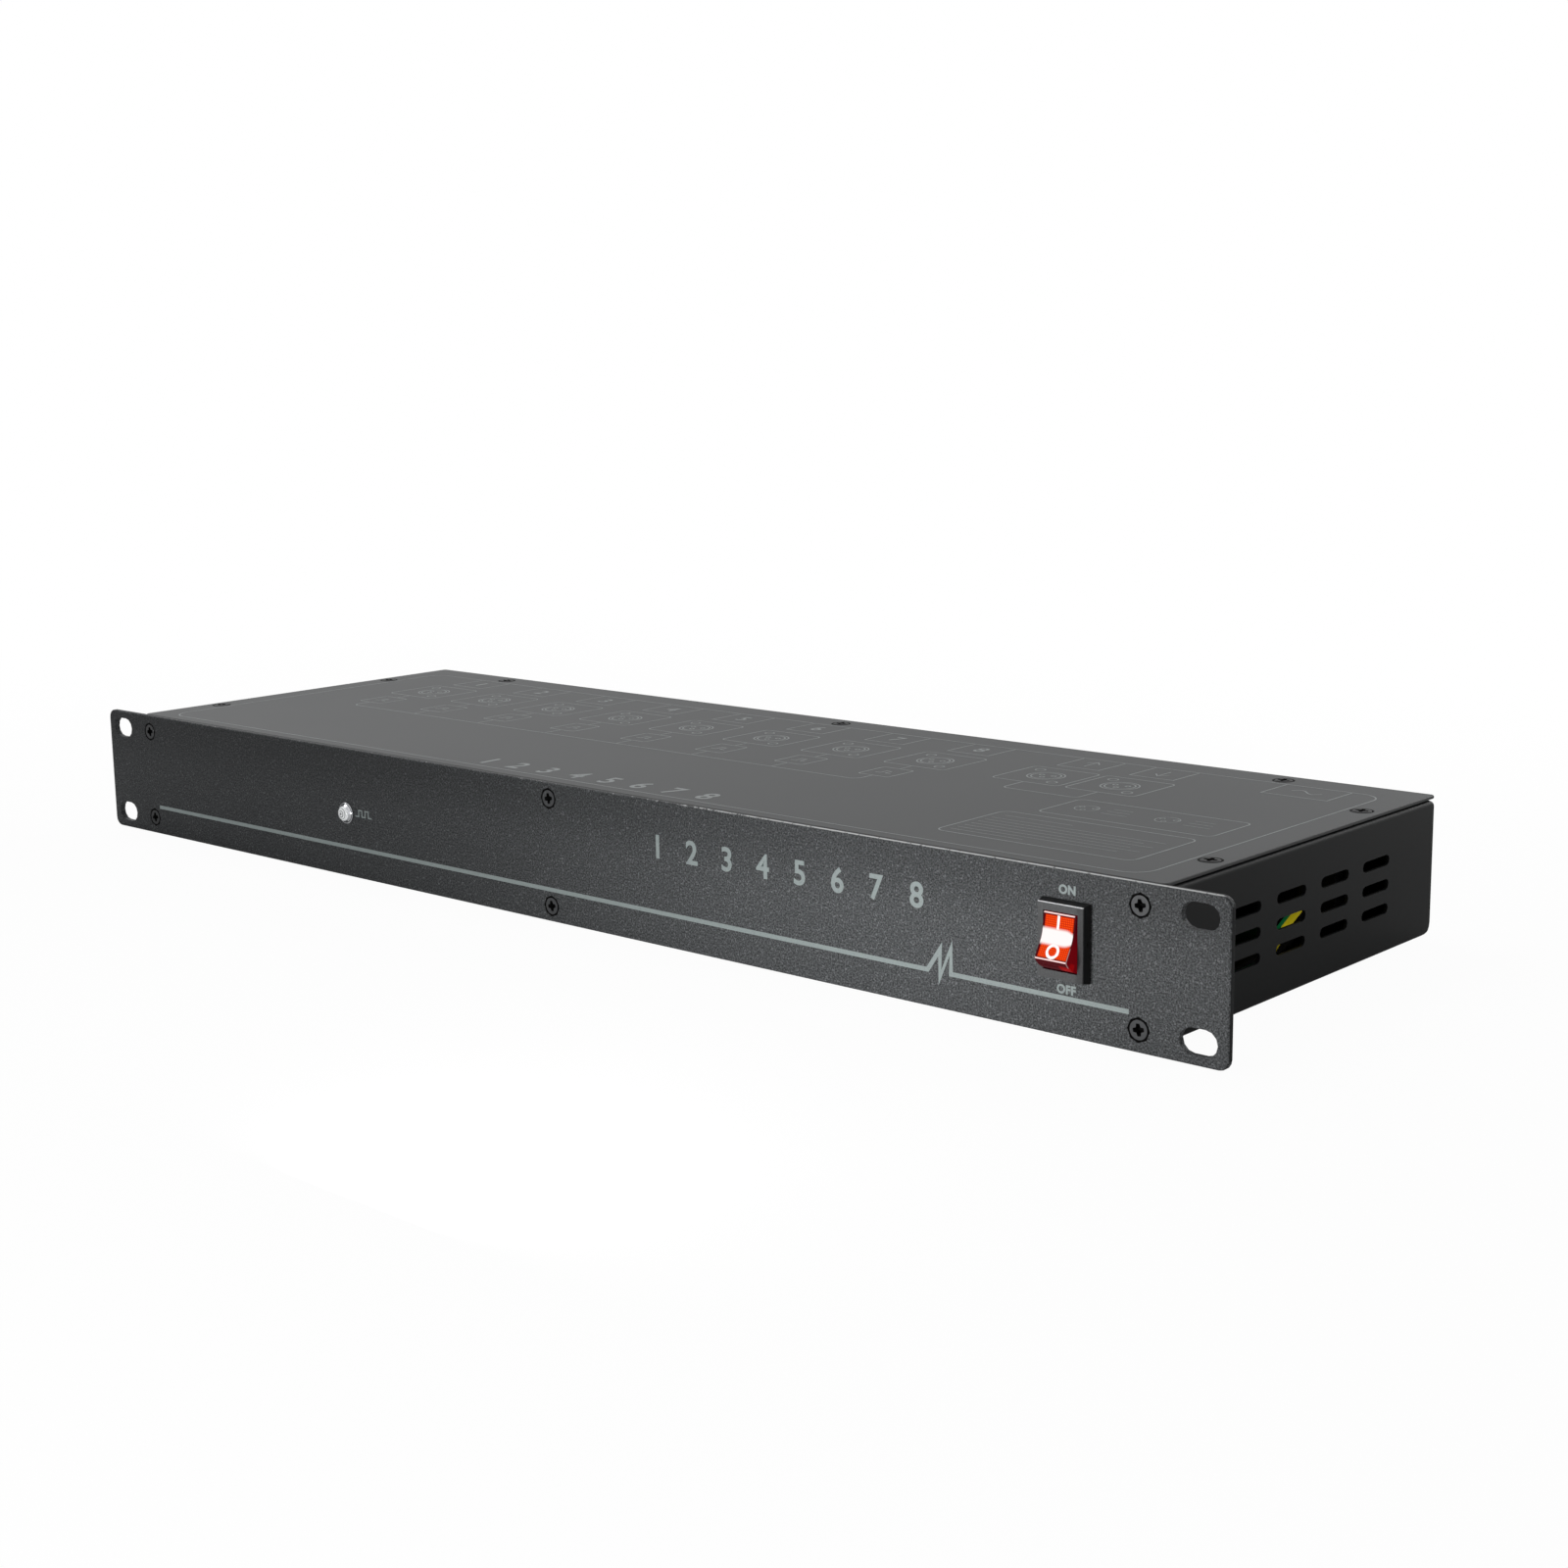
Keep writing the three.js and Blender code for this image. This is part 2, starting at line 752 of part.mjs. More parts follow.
function switchHousing() {
  const halfWidth = housingWidth / 2;
  const halfHeight = housingHeight / 2;
  const halfWindow = windowWidth / 2;
  const body = block(
    [-halfWidth, halfWidth],
    [-seatGap - joinDepth, housingDepth],
    [-halfHeight, halfHeight],
  );
  const mouth = block(
    [-halfWindow, halfWindow],
    [-bezelDepth - overrun, -pivotDepth],
    [-windowHeight / 2, windowHeight / 2],
  );
  const drum = moved(
    rodX(rockerRadius + seatGap, -halfWindow, halfWindow, roundSteps),
    0,
    -pivotDepth,
    0,
  );
  const well = common(
    drum,
    block(
      [-halfWidth, halfWidth],
      [-bezelDepth - overrun, housingDepth - housingFloor],
      [-halfHeight, halfHeight],
    ),
  );
  const bearing = moved(
    rodX(pivotRadius + seatGap, -halfWidth - overrun, halfWidth + overrun),
    0,
    -pivotDepth,
    0,
  );
  const blades = [-switchBladePitch, 0, switchBladePitch].map((z) =>
    block(
      [-bladeWidth / 2, bladeWidth / 2],
      [housingDepth - joinDepth, housingDepth + switchBladeLength],
      [z - bladeThickness / 2, z + bladeThickness / 2],
    ),
  );
  const whole = join(switchBezel(), body, switchClip(-1), switchClip(1), ...blades);
  return cut(whole, mouth, well, bearing);
}

// The rocker's outline when it stands level, in Y and Z about its pivot: a hollowed front, two
// short chamfers, round ends about the pivot and a straight back.
function rockerOutline() {
  const nose = Math.sqrt(rockerRadius ** 2 - rockerHalfChord ** 2);
  const tail = THREE.MathUtils.degToRad(rockerTailDegrees);
  const shoulder = Math.atan2(nose, rockerHalfChord) - rockerChamfer / rockerRadius;
  const faceEnd = rockerHalfChord - rockerChamfer;
  const bend = rockerHalfChord / 4;
  const bendDepth = nose - rockerValley * (1 - bend / faceEnd);
  const half = Math.PI / 2;
  const outline = new THREE.Shape();
  outline.moveTo(-nose, faceEnd);
  outline.lineTo(-bendDepth, bend);
  outline.quadraticCurveTo(rockerValley - nose, 0, -bendDepth, -bend);
  outline.lineTo(-nose, -faceEnd);
  outline.absarc(0, 0, rockerRadius, -half - shoulder, -half + tail);
  outline.absarc(0, 0, rockerRadius, half - tail, half + shoulder);
  return outline;
}

function rocker() {
  const half = windowWidth / 2 - seatGap;
  const body = bar(rockerOutline(), -half, half, arcSteps * 2);
  const reach = windowWidth / 2 + pivotReach;
  return join(body, rodX(pivotRadius, -reach, reach));
}

// Indicator lamp, about its own axis.
function lampBezel() {
  return turned(
    [
      [lampBore, -lampFlangeThickness],
      [lampRimRadius - seatGap, -lampRimReach],
      [lampRimRadius, -lampRimReach],
      [lampFlangeRadius, -seatGap - lampFlangeThickness],
      [lampFlangeRadius, -seatGap],
      [lampTubeRadius, -seatGap],
      [lampTubeRadius, lampTubeLength],
      [lampBore, lampTubeLength],
      [lampBore, -lampFlangeThickness],
    ],
    roundSteps,
  );
}

function lampDome() {
  const radius = lampBore - seatGap;
  const profile = [[0, -lampDomeReach]];
  for (let i = 1; i <= domeSteps; i++) {
    const turn = (i * Math.PI) / 2 / domeSteps;
    profile.push([radius * Math.sin(turn), -lampDomeReach + radius * (1 - Math.cos(turn))]);
  }
  const back = lampTubeLength - seatGap;
  profile.push([radius, back], [0, back]);
  const half = lampLegThickness / 2;
  const legs = [-1, 1].map((side) =>
    moved(
      block([-half, half], [back - joinDepth, back + lampLegLength], [-half, half]),
      (side * lampLegSpread) / 2,
      0,
      0,
    ),
  );
  return join(turned(profile, smallSteps), ...legs);
}

function lampNut() {
  const front = panelThickness + seatGap;
  const back = front + lampNutThickness;
  const bore = rodY(lampTubeRadius + seatGap, front - overrun, back + overrun, smallSteps);
  return cut(hexY(lampNutAcross, front, back), bore);
}

// Panel connectors, about their own axis. Y zero is the rear wall's outer face, and the connector
// faces away from the wall, along Y.
function fixingPlaces() {
  return [
    [-fixingSpreadX / 2, fixingSpreadZ / 2],
    [fixingSpreadX / 2, -fixingSpreadZ / 2],
  ];
}

// The domed head of a screw that holds the flange.
function fixingHead() {
  return turned(
    [
      [0, flangeFace - joinDepth],
      [fixingHeadRadius, flangeFace - joinDepth],
      [fixingHeadRadius / 2, flangeFace + fixingHeadHeight],
      [0, flangeFace + fixingHeadHeight],
    ],
    tinySteps,
  );
}

function connectorShell(bore) {
  const flange = slab(
    evenOutline(flangeWidth, flangeHeight, flangeCornerRadius),
    seatGap,
    flangeFace,
    1,
  );
  const barrel = rodY(barrelRadius, -barrelLength, seatGap + joinDepth, connectorSteps);
  const mouth = turned(
    [
      [0, flangeFace - socketMouth],
      [bore, flangeFace - socketMouth],
      [bore + socketMouth + overrun, flangeFace + overrun],
      [0, flangeFace + overrun],
    ],
    connectorSteps,
  );
  const heads = fixingPlaces().map(([x, z]) => moved(fixingHead(), x, 0, z));
  return cut(
    join(flange, barrel, ...heads),
    rodY(bore, -barrelLength - overrun, flangeFace + overrun, connectorSteps),
    mouth,
  );
}

function femaleShell() {
  const halfTab = tabWidth / 2 + seatGap;
  const halfStem = stemWidth / 2 + seatGap;
  const tabWindow = block(
    [-halfTab, halfTab],
    [seatGap - joinDepth, flangeFace + overrun],
    [socketBore - overrun, tabFoot + tabHeight + seatGap],
  );
  const stemSlot = block(
    [-halfStem, halfStem],
    [flangeFace - tabSeat - stemLength - tabTravel() - seatGap, flangeFace + overrun],
    [socketBore - overrun, tabFoot + stemHeight + seatGap],
  );
  return cut(connectorShell(socketBore), tabWindow, stemSlot);
}

// How far a tab can be pushed before it would meet the wall.
function tabTravel() {
  return flangeThickness - tabSeat;
}

function latchTab() {
  const front = flangeFace - tabSeat;
  const pad = slab(
    roundedOutline(
      [-tabWidth / 2, tabWidth / 2],
      [tabFoot, tabFoot + tabHeight],
      Array(4).fill(tabProud / 2),
    ),
    front,
    flangeFace + tabProud,
    1,
  );
  const stem = block(
    [-stemWidth / 2, stemWidth / 2],
    [front - stemLength, front + joinDepth],
    [tabFoot, tabFoot + stemHeight],
  );
  const hookFront = flangeFace - hookSetback;
  const hook = bar(
    polygon([
      [hookFront - hookLength, tabFoot + joinDepth],
      [hookFront - hookLength, tabFoot - hookReach],
      [hookFront, tabFoot],
      [hookFront, tabFoot + joinDepth],
    ]),
    -stemWidth / 2,
    stemWidth / 2,
  );
  return join(pad, stem, hook);
}

function contactPlaces() {
  return [
    [-contactOffset, 0],
    [contactOffset, 0],
    [0, -contactOffset],
  ];
}

// The solder tails behind an insert, from its back.
function tails(back) {
  const half = tailWidth / 2;
  const tail = block([-half, half], [back - tailLength, back + joinDepth], [-half, half]);
  return contactPlaces().map(([x, z]) => moved(tail, x, 0, z));
}

function femaleInsert() {
  const face = flangeFace - insertSink;
  const floor = flangeFace - socketDepth;
  const back = floor - insertBase;
  const body = turned(
    [
      [0, back],
      [socketBore - seatGap, back],
      [socketBore - seatGap, floor],
      [socketCore, floor],
      [socketCore, face],
      [0, face],
    ],
    connectorSteps,
  );
  const hole = rodY(contactHole, face - contactHoleDepth, face + overrun, tinySteps);
  const holes = contactPlaces().map(([x, z]) => moved(hole, x, 0, z));
  return cut(join(body, ...tails(back)), ...holes);
}

function maleInsert() {
  const floor = flangeFace - cupDepth;
  const back = flangeFace - socketDepth - insertBase;
  const disc = rodY(cupBore - seatGap, back, floor, connectorSteps);
  const pin = turned(
    [
      [0, floor - joinDepth],
      [pinRadius, floor - joinDepth],
      [pinRadius, flangeFace - pinSink - pinRadius],
      [pinRadius / 2, flangeFace - pinSink],
      [0, flangeFace - pinSink],
    ],
    smallSteps,
  );
  const pins = contactPlaces().map(([x, z]) => moved(pin, x, 0, z));
  return join(disc, ...pins, ...tails(back));
}

// Mains inlet, about its own centre. Y zero is the rear wall's outer face.
function inlet() {
  const face = seatGap + inletFlangeThickness;
  const flange = slab(
    evenOutline(inletFlangeWidth, inletFlangeHeight, inletFlangeRadius),
    seatGap,
    face,
    arcSteps,
    flangeEdge,
  );
  const body = block(
    [-inletBodyWidth / 2, inletBodyWidth / 2],
    [-inletBodyDepth, seatGap + joinDepth],
    [-inletBodyHeight / 2, inletBodyHeight / 2],
  );
  const halfCavity = cavityWidth / 2;
  const cavityTop = cavityLift + cavityHeight / 2;
  const cavityFoot = cavityLift - cavityHeight / 2;
  const cavity = slab(
    polygon([
      [-halfCavity, cavityFoot],
      [halfCavity, cavityFoot],
      [halfCavity, cavityTop - cavityChamfer],
      [halfCavity - cavityChamfer, cavityTop],
      [cavityChamfer - halfCavity, cavityTop],
      [-halfCavity, cavityTop - cavityChamfer],
    ]),
    face - cavityDepth,
    face + overrun,
  );
  const drawerSlot = block(
    [-drawerSlotWidth / 2, drawerSlotWidth / 2],
    [-drawerSlotDepth, face + overrun],
    [-drawerDrop - drawerSlotHeight / 2, -drawerDrop + drawerSlotHeight / 2],
  );
  const screw = rodY(inletScrewHole, 0, face + overrun, smallSteps);
  const screws = [-1, 1].map((side) => moved(screw, (side * inletScrewSpread) / 2, 0, 0));
  const floor = face - cavityDepth;
  const bladePlaces = [
    [-mainsBladeSpread / 2, cavityLift - mainsBladeOffset],
    [mainsBladeSpread / 2, cavityLift - mainsBladeOffset],
    [0, cavityLift + mainsBladeOffset],
  ];
  const blades = bladePlaces.map(([x, z]) =>
    block(
      [x - mainsBladeWidth / 2, x + mainsBladeWidth / 2],
      [floor - joinDepth, floor + mainsBladeLength],
      [z - mainsBladeHeight / 2, z + mainsBladeHeight / 2],
    ),
  );
  const tags = bladePlaces.map(([x, z]) =>
    block(
      [x - bladeThickness / 2, x + bladeThickness / 2],
      [-inletBodyDepth - tagLength, joinDepth - inletBodyDepth],
      [z - tagWidth / 2, z + tagWidth / 2],
    ),
  );
  const hollow = cut(join(flange, body), cavity, drawerSlot, ...screws);
  return join(hollow, ...blades, ...tags);
}

// The drawer slides out along Y. Its trough holds the fuse.
function fuseDrawer() {
  const face = seatGap + inletFlangeThickness;
  const half = drawerSlotWidth / 2 - seatGap;
  const halfHeight = drawerSlotHeight / 2 - seatGap;
  const body = block(
    [-half, half],
    [seatGap - drawerSlotDepth, face],
    [-halfHeight, halfHeight],
  );
  const lip = block(
    [-half, half],
    [face - joinDepth, face + drawerLip],
    [-halfHeight, drawerLipHeight - halfHeight],
  );
  const troughRadius = fuseCapRadius + seatGap;
  const back = face - drawerFace;
  const trough = rodY(troughRadius, back - fuseLength - 2 * seatGap, back, smallSteps);
  const mouth = block(
    [-troughRadius, troughRadius],
    [back - fuseLength - 2 * seatGap, back],
    [0, halfHeight + overrun],
  );
  return cut(join(body, lip), trough, mouth);
}

function fuse() {
  const back = seatGap + inletFlangeThickness - drawerFace - seatGap;
  const front = back - fuseLength;
  return turned(
    [
      [0, front],
      [fuseCapRadius, front],
      [fuseCapRadius, front + fuseCapLength],
      [fuseRadius, front + fuseCapLength],
      [fuseRadius, back - fuseCapLength],
      [fuseCapRadius, back - fuseCapLength],
      [fuseCapRadius, back],
      [0, back],
    ],
    smallSteps,
  );
}

// Boards
function flatBoard(place) {
  const foot = trayFloor + standoffHeight + seatGap;
  const top = foot + boardThickness;
  const shank = rodZ(boardScrewRadius, foot - standoffHeight / 2, top, tinySteps);
  const head = rodZ(boardScrewHeadRadius, top - joinDepth, top + boardScrewHeight, tinySteps);
  const screws = standoffPlaces(place).map(([x, y]) => moved(join(shank, head), x, y, 0));
  return join(block(place[0], place[1], [foot, top]), ...screws);
}

function boardTop() {
  return trayFloor + standoffHeight + seatGap + boardThickness;
}

// A part with a flat foot, on a board.
function mounted(x, y, width, depth, height) {
  return block(
    [x - width / 2, x + width / 2],
    [y - depth / 2, y + depth / 2],
    [boardTop() - joinDepth, boardTop() + height],
  );
}

function mainBoard() {
  const place = mainBoardPlace();
  const [[left, right], [front, back]] = place;
  const step = (right - left) / (outputCount + 1);
  const parts = [];
  for (let i = 1; i <= outputCount; i++) {
    const x = left + i * step;
    parts.push(mounted(x, back - headerDepth - driverDepth, driverWidth, driverDepth, driverHeight));
    parts.push(mounted(x, (front + back) / 2, isolatorWidth, isolatorDepth, isolatorHeight));
  }
  const headerWidth = right - left - 2 * step;
  parts.push(
    mounted((left + right) / 2, back - headerDepth / 2, headerWidth, headerDepth / 2, headerHeight),
  );
  return join(flatBoard(place), ...parts);
}

function supplyBoard() {
  const place = supplyBoardPlace();
  const [[left, right], [front, back]] = place;
  const coreX = left + transformerWidth / 2 + standoffInset;
  const coreY = back - transformerDepth / 2 - 2 * standoffInset;
  const core = mounted(coreX, coreY, transformerCore, transformerDepth, transformerHeight);
  const winding = mounted(
    coreX,
    coreY,
    transformerWidth,
    transformerDepth - 2 * windingInset,
    transformerHeight - windingInset,
  );
  const can = rodZ(canRadius, boardTop() - joinDepth, boardTop() + canHeight);
  const cans = [0, 1].map((i) =>
    moved(can, right - 2 * canRadius - standoffInset, coreY + (i - 1 / 2) * canPitch, 0),
  );
  const sinkX = (left + right) / 2;
  const sinkY = front + 2 * standoffInset;
  const plate = mounted(sinkX, sinkY, sinkWidth, sinkPlate, sinkHeight);
  const finPitch = (sinkWidth - finThickness) / (finCount - 1);
  const fins = Array.from({ length: finCount }, (_, i) =>
    mounted(
      sinkX - sinkWidth / 2 + finThickness / 2 + i * finPitch,
      sinkY + finDepth / 2,
      finThickness,
      finDepth,
      sinkHeight,
    ),
  );
  return join(flatBoard(place), core, winding, ...cans, plate, ...fins);
}

// The board that the connectors' tails are soldered to stands across the tray.
function connectorBoard() {
  const back = connectorBoardBack();
  const foot = trayFloor + connectorBoardFoot;
  return block(
    [firstOutputX - connectorBoardMargin, inputX + connectorBoardMargin],
    [back - boardThickness, back],
    [foot, foot + connectorBoardHeight],
  );
}

// Earth stud with its nut, on the tray's floor.
function studPosition() {
  return new THREE.Vector3(bodySide - steel - studInset, studPlace, trayFloor + seatGap);
}

function earthStud() {
  const nut = hexY(studNutAcross, 0, studNutThickness).rotateX(Math.PI / 2);
  return join(rodZ(studRadius, 0, studHeight), nut);
}

// The ways of the two leads from the inlet to their ends. Each point is given by how far it has come
// along Y, how far it has come across from the inlet's centre to the right wall, and its height in
// the tray, as shares of the whole.
const earthWayShares = [
  [0.062, 0.333, 0.731],
  [0.17, 0.583, 0.756],
  [0.257, 0.767, 0.693],
  [0.324, 0.817, 0.579],
  [0.452, 0.817, 0.447],
  [0.541, 0.817, 0.365],
  [0.607, 0.817, 0.254],
  [0.674, 0.8, 0.162],
  [0.775, 0.767, 0.14],
  [0.883, 0.74, 0.13],
];
const mainsWayShares = [
  [0.108, 0.433, 0.325],
  [0.239, 0.467, 0.122],
  [0.477, 0.467, 0.071],
  [0.715, 0.467, 0.084],
  [0.857, 0.4, 0.223],
  [0.94, 0.2, 0.426],
];

// A lead of round section from its start to its end, past the points of its way.
function lead(start, end, wayShares, radius) {
  const wall = bodySide - steel;
  const between = wayShares.map(
    ([along, across, up]) =>
      new THREE.Vector3(
        inletX + across * (wall - inletX),
        start.y + along * (end.y - start.y),
        trayFloor + up * (trayTop - trayFloor),
      ),
  );
  const section = new THREE.Shape();
  section.absarc(0, 0, radius, 0, 2 * Math.PI);
  return new THREE.ExtrudeGeometry(section, {
    extrudePath: new THREE.CatmullRomCurve3([start, ...between, end]),
    steps: leadSteps,
    curveSegments: leadSides / 2,
    bevelEnabled: false,
  });
}

// From the inlet's earth tag forward beside the right wall, past the vents, down to the stud's nut.
function earthWire() {
  const tagZ = trayMiddle + cavityLift + mainsBladeOffset;
  const start = new THREE.Vector3(inletX, tagEndY() - earthWireRadius, tagZ);
  const stud = studPosition();
  const end = new THREE.Vector3(
    stud.x,
    stud.y + studRadius + seatGap,
    stud.z + studNutThickness + seatGap + earthWireRadius,
  );
  return lead(start, end, earthWayShares, earthWireRadius);
}

// From the inlet's lower tags along the floor to the switch.
function mainsLead() {
  const start = new THREE.Vector3(
    inletX + mainsBladeSpread / 2,
    tagEndY() - mainsLeadRadius,
    trayMiddle + cavityLift - mainsBladeOffset,
  );
  const end = new THREE.Vector3(
    switchX,
    housingDepth + switchBladeLength + mainsLeadRadius,
    switchHeight,
  );
  return lead(start, end, mainsWayShares, mainsLeadRadius);
}

// Groups
function panelGroup() {
  const group = new THREE.Group();
  group.add(piece("front_panel", frontPanel(), "powderCoat"));
  panelScrewPlaces().forEach(([x, z], i) => {
    const screw = piece(`panel_screw_${i + 1}`, screwForm(panelScrewLength, 0), "blackScrew");
    screw.position.set(x, 0, z);
    group.add(screw);
  });
  return group;
}

function caseGroup() {
  const group = new THREE.Group();
  group.add(piece("chassis_tray", tray(), "paintedSteel"));
  group.add(piece("top_cover", cover(), "coverPaint"));
  coverScrewPlaces().forEach(([x, y], i) => {
    const form = screwForm(coverScrewLength, coverScrewDome);
    const screw = piece(`cover_screw_${i + 1}`, form, "blackScrew");
    screw.position.set(x, y, coverTop);
    screw.rotation.x = -Math.PI / 2;
    group.add(screw);
  });
  return group;
}

function switchGroup() {
  const group = new THREE.Group();
  group.position.set(switchX, 0, switchHeight);
  const lever = piece("switch_rocker", rocker(), "redLens");
  lever.position.y = -pivotDepth;
  lever.rotation.x = -rockerTilt;
  group.add(piece("switch_housing", switchHousing(), "blackPlastic"), lever);
  return group;
}

function lampGroup() {
  const group = new THREE.Group();
  group.position.set(lampX, 0, lampHeight);
  group.add(piece("indicator_bezel", lampBezel(), "chrome"));
  group.add(piece("indicator_lamp", lampDome(), "clearLens"));
  group.add(piece("indicator_nut", lampNut(), "zinc"));
  return group;
}

function femaleGroup(name, x) {
  const group = new THREE.Group();
  group.position.set(x, trayRear, trayMiddle);
  group.add(piece(`${name}_shell`, femaleShell(), "blackPlastic"));
  group.add(piece(`${name}_insert`, femaleInsert(), "blackPlastic"));
  group.add(piece(`${name}_latch`, latchTab(), "zinc"));
  return group;
}

function maleGroup() {
  const group = new THREE.Group();
  group.position.set(inputX, trayRear, trayMiddle);
  group.add(piece("input_shell", connectorShell(cupBore), "blackPlastic"));
  group.add(piece("input_insert", maleInsert(), "blackPlastic"));
  return group;
}

function inletGroup() {
  const group = new THREE.Group();
  group.position.set(inletX, trayRear, trayMiddle);
  const drawer = new THREE.Group();
  drawer.position.z = -drawerDrop;
  drawer.add(piece("fuse_drawer", fuseDrawer(), "blackPlastic"));
  drawer.add(piece("fuse", fuse(), "glass"));
  group.add(piece("power_inlet", inlet(), "blackPlastic"), drawer);
  return group;
}

function insideGroup() {
  const group = new THREE.Group();
  group.add(piece("main_board", mainBoard(), "board"));
  group.add(piece("supply_board", supplyBoard(), "board"));
  group.add(piece("connector_board", connectorBoard(), "board"));
  const stud = piece("earth_stud", earthStud(), "zinc");
  stud.position.copy(studPosition());
  group.add(stud);
  group.add(piece("earth_wire", earthWire(), "earthLead"));
  group.add(piece("mains_lead", mainsLead(), "mainsLead"));
  return group;
}

// The whole splitter stands on the foot of its panel, with its origin below its middle.
function splitter() {
  const whole = new THREE.Group();
  whole.add(panelGroup(), caseGroup(), switchGroup(), lampGroup());
  outputXs.forEach((x, i) => whole.add(femaleGroup(`output_${i + 1}`, x)));
  whole.add(femaleGroup("through", throughX), maleGroup(), inletGroup(), insideGroup());
  const box = new THREE.Box3().setFromObject(whole, true);
  const middle = box.getCenter(new THREE.Vector3());
  whole.position.set(-middle.x, -middle.y, -box.min.z);
  return whole;
}

export default splitter();
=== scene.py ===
"""The looks of a one-unit rack splitter for lighting control signals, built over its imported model.

Lengths are in metres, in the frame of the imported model: X to the right as seen from the front, Y from
the front panel to the rear wall, and Z up.
"""

from __future__ import annotations

import json
import logging
import math
from collections.abc import Callable, Sequence
from dataclasses import dataclass, field
from enum import Enum

import bmesh
import bpy
from mathutils import Matrix, Vector
from mathutils.bvhtree import BVHTree

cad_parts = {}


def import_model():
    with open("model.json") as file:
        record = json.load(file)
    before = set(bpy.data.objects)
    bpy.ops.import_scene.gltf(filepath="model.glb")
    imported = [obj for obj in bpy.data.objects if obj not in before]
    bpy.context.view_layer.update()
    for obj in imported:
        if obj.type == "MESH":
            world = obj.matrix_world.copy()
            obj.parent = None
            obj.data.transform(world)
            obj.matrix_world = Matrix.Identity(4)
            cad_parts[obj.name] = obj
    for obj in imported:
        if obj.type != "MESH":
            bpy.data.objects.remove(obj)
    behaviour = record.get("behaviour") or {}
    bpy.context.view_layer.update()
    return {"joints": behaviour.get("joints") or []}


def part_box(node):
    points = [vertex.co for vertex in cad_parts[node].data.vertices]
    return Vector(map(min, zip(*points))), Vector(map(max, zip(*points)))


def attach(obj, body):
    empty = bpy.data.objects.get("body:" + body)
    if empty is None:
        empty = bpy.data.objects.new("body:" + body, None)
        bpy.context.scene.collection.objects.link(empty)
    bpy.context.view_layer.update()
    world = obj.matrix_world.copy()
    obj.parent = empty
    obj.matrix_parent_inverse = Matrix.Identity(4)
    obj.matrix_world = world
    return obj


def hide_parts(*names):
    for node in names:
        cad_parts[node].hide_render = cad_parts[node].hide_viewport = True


MM = 0.001
TINY = 1e-6
QUARTER = math.pi / 2
OUTPUTS = 8

Colour = tuple[float, float, float]
Point = Sequence[float]
Profile = Sequence[tuple[float, float]]
Outline = list[Vector]
Edge = bmesh.types.BMEdge
Face = bmesh.types.BMFace
Material = bpy.types.Material

BLACK: Colour = (0.0, 0.0, 0.0)

log = logging.getLogger("splitter")


# Shader graphs


class Wire:
    """A shader socket that can take part in sums and products."""

    def __init__(self, shader: Shader, socket: bpy.types.NodeSocket) -> None:
        """Wraps an output socket of a graph."""
        self.shader = shader
        self.socket = socket

    def __add__(self, other: Wire | float) -> Wire:
        """Adds a wire or a number."""
        return self.shader.maths("ADD", self, other)

    __radd__ = __add__

    def __sub__(self, other: Wire | float) -> Wire:
        """Takes a wire or a number away."""
        return self.shader.maths("SUBTRACT", self, other)

    def __rsub__(self, other: float) -> Wire:
        """Takes this wire from a number."""
        return self.shader.maths("SUBTRACT", other, self)

    def __mul__(self, other: Wire | float) -> Wire:
        """Multiplies by a wire or a number."""
        return self.shader.maths("MULTIPLY", self, other)

    __rmul__ = __mul__

    def __abs__(self) -> Wire:
        """Takes the sign away."""
        return self.shader.maths("ABSOLUTE", self)


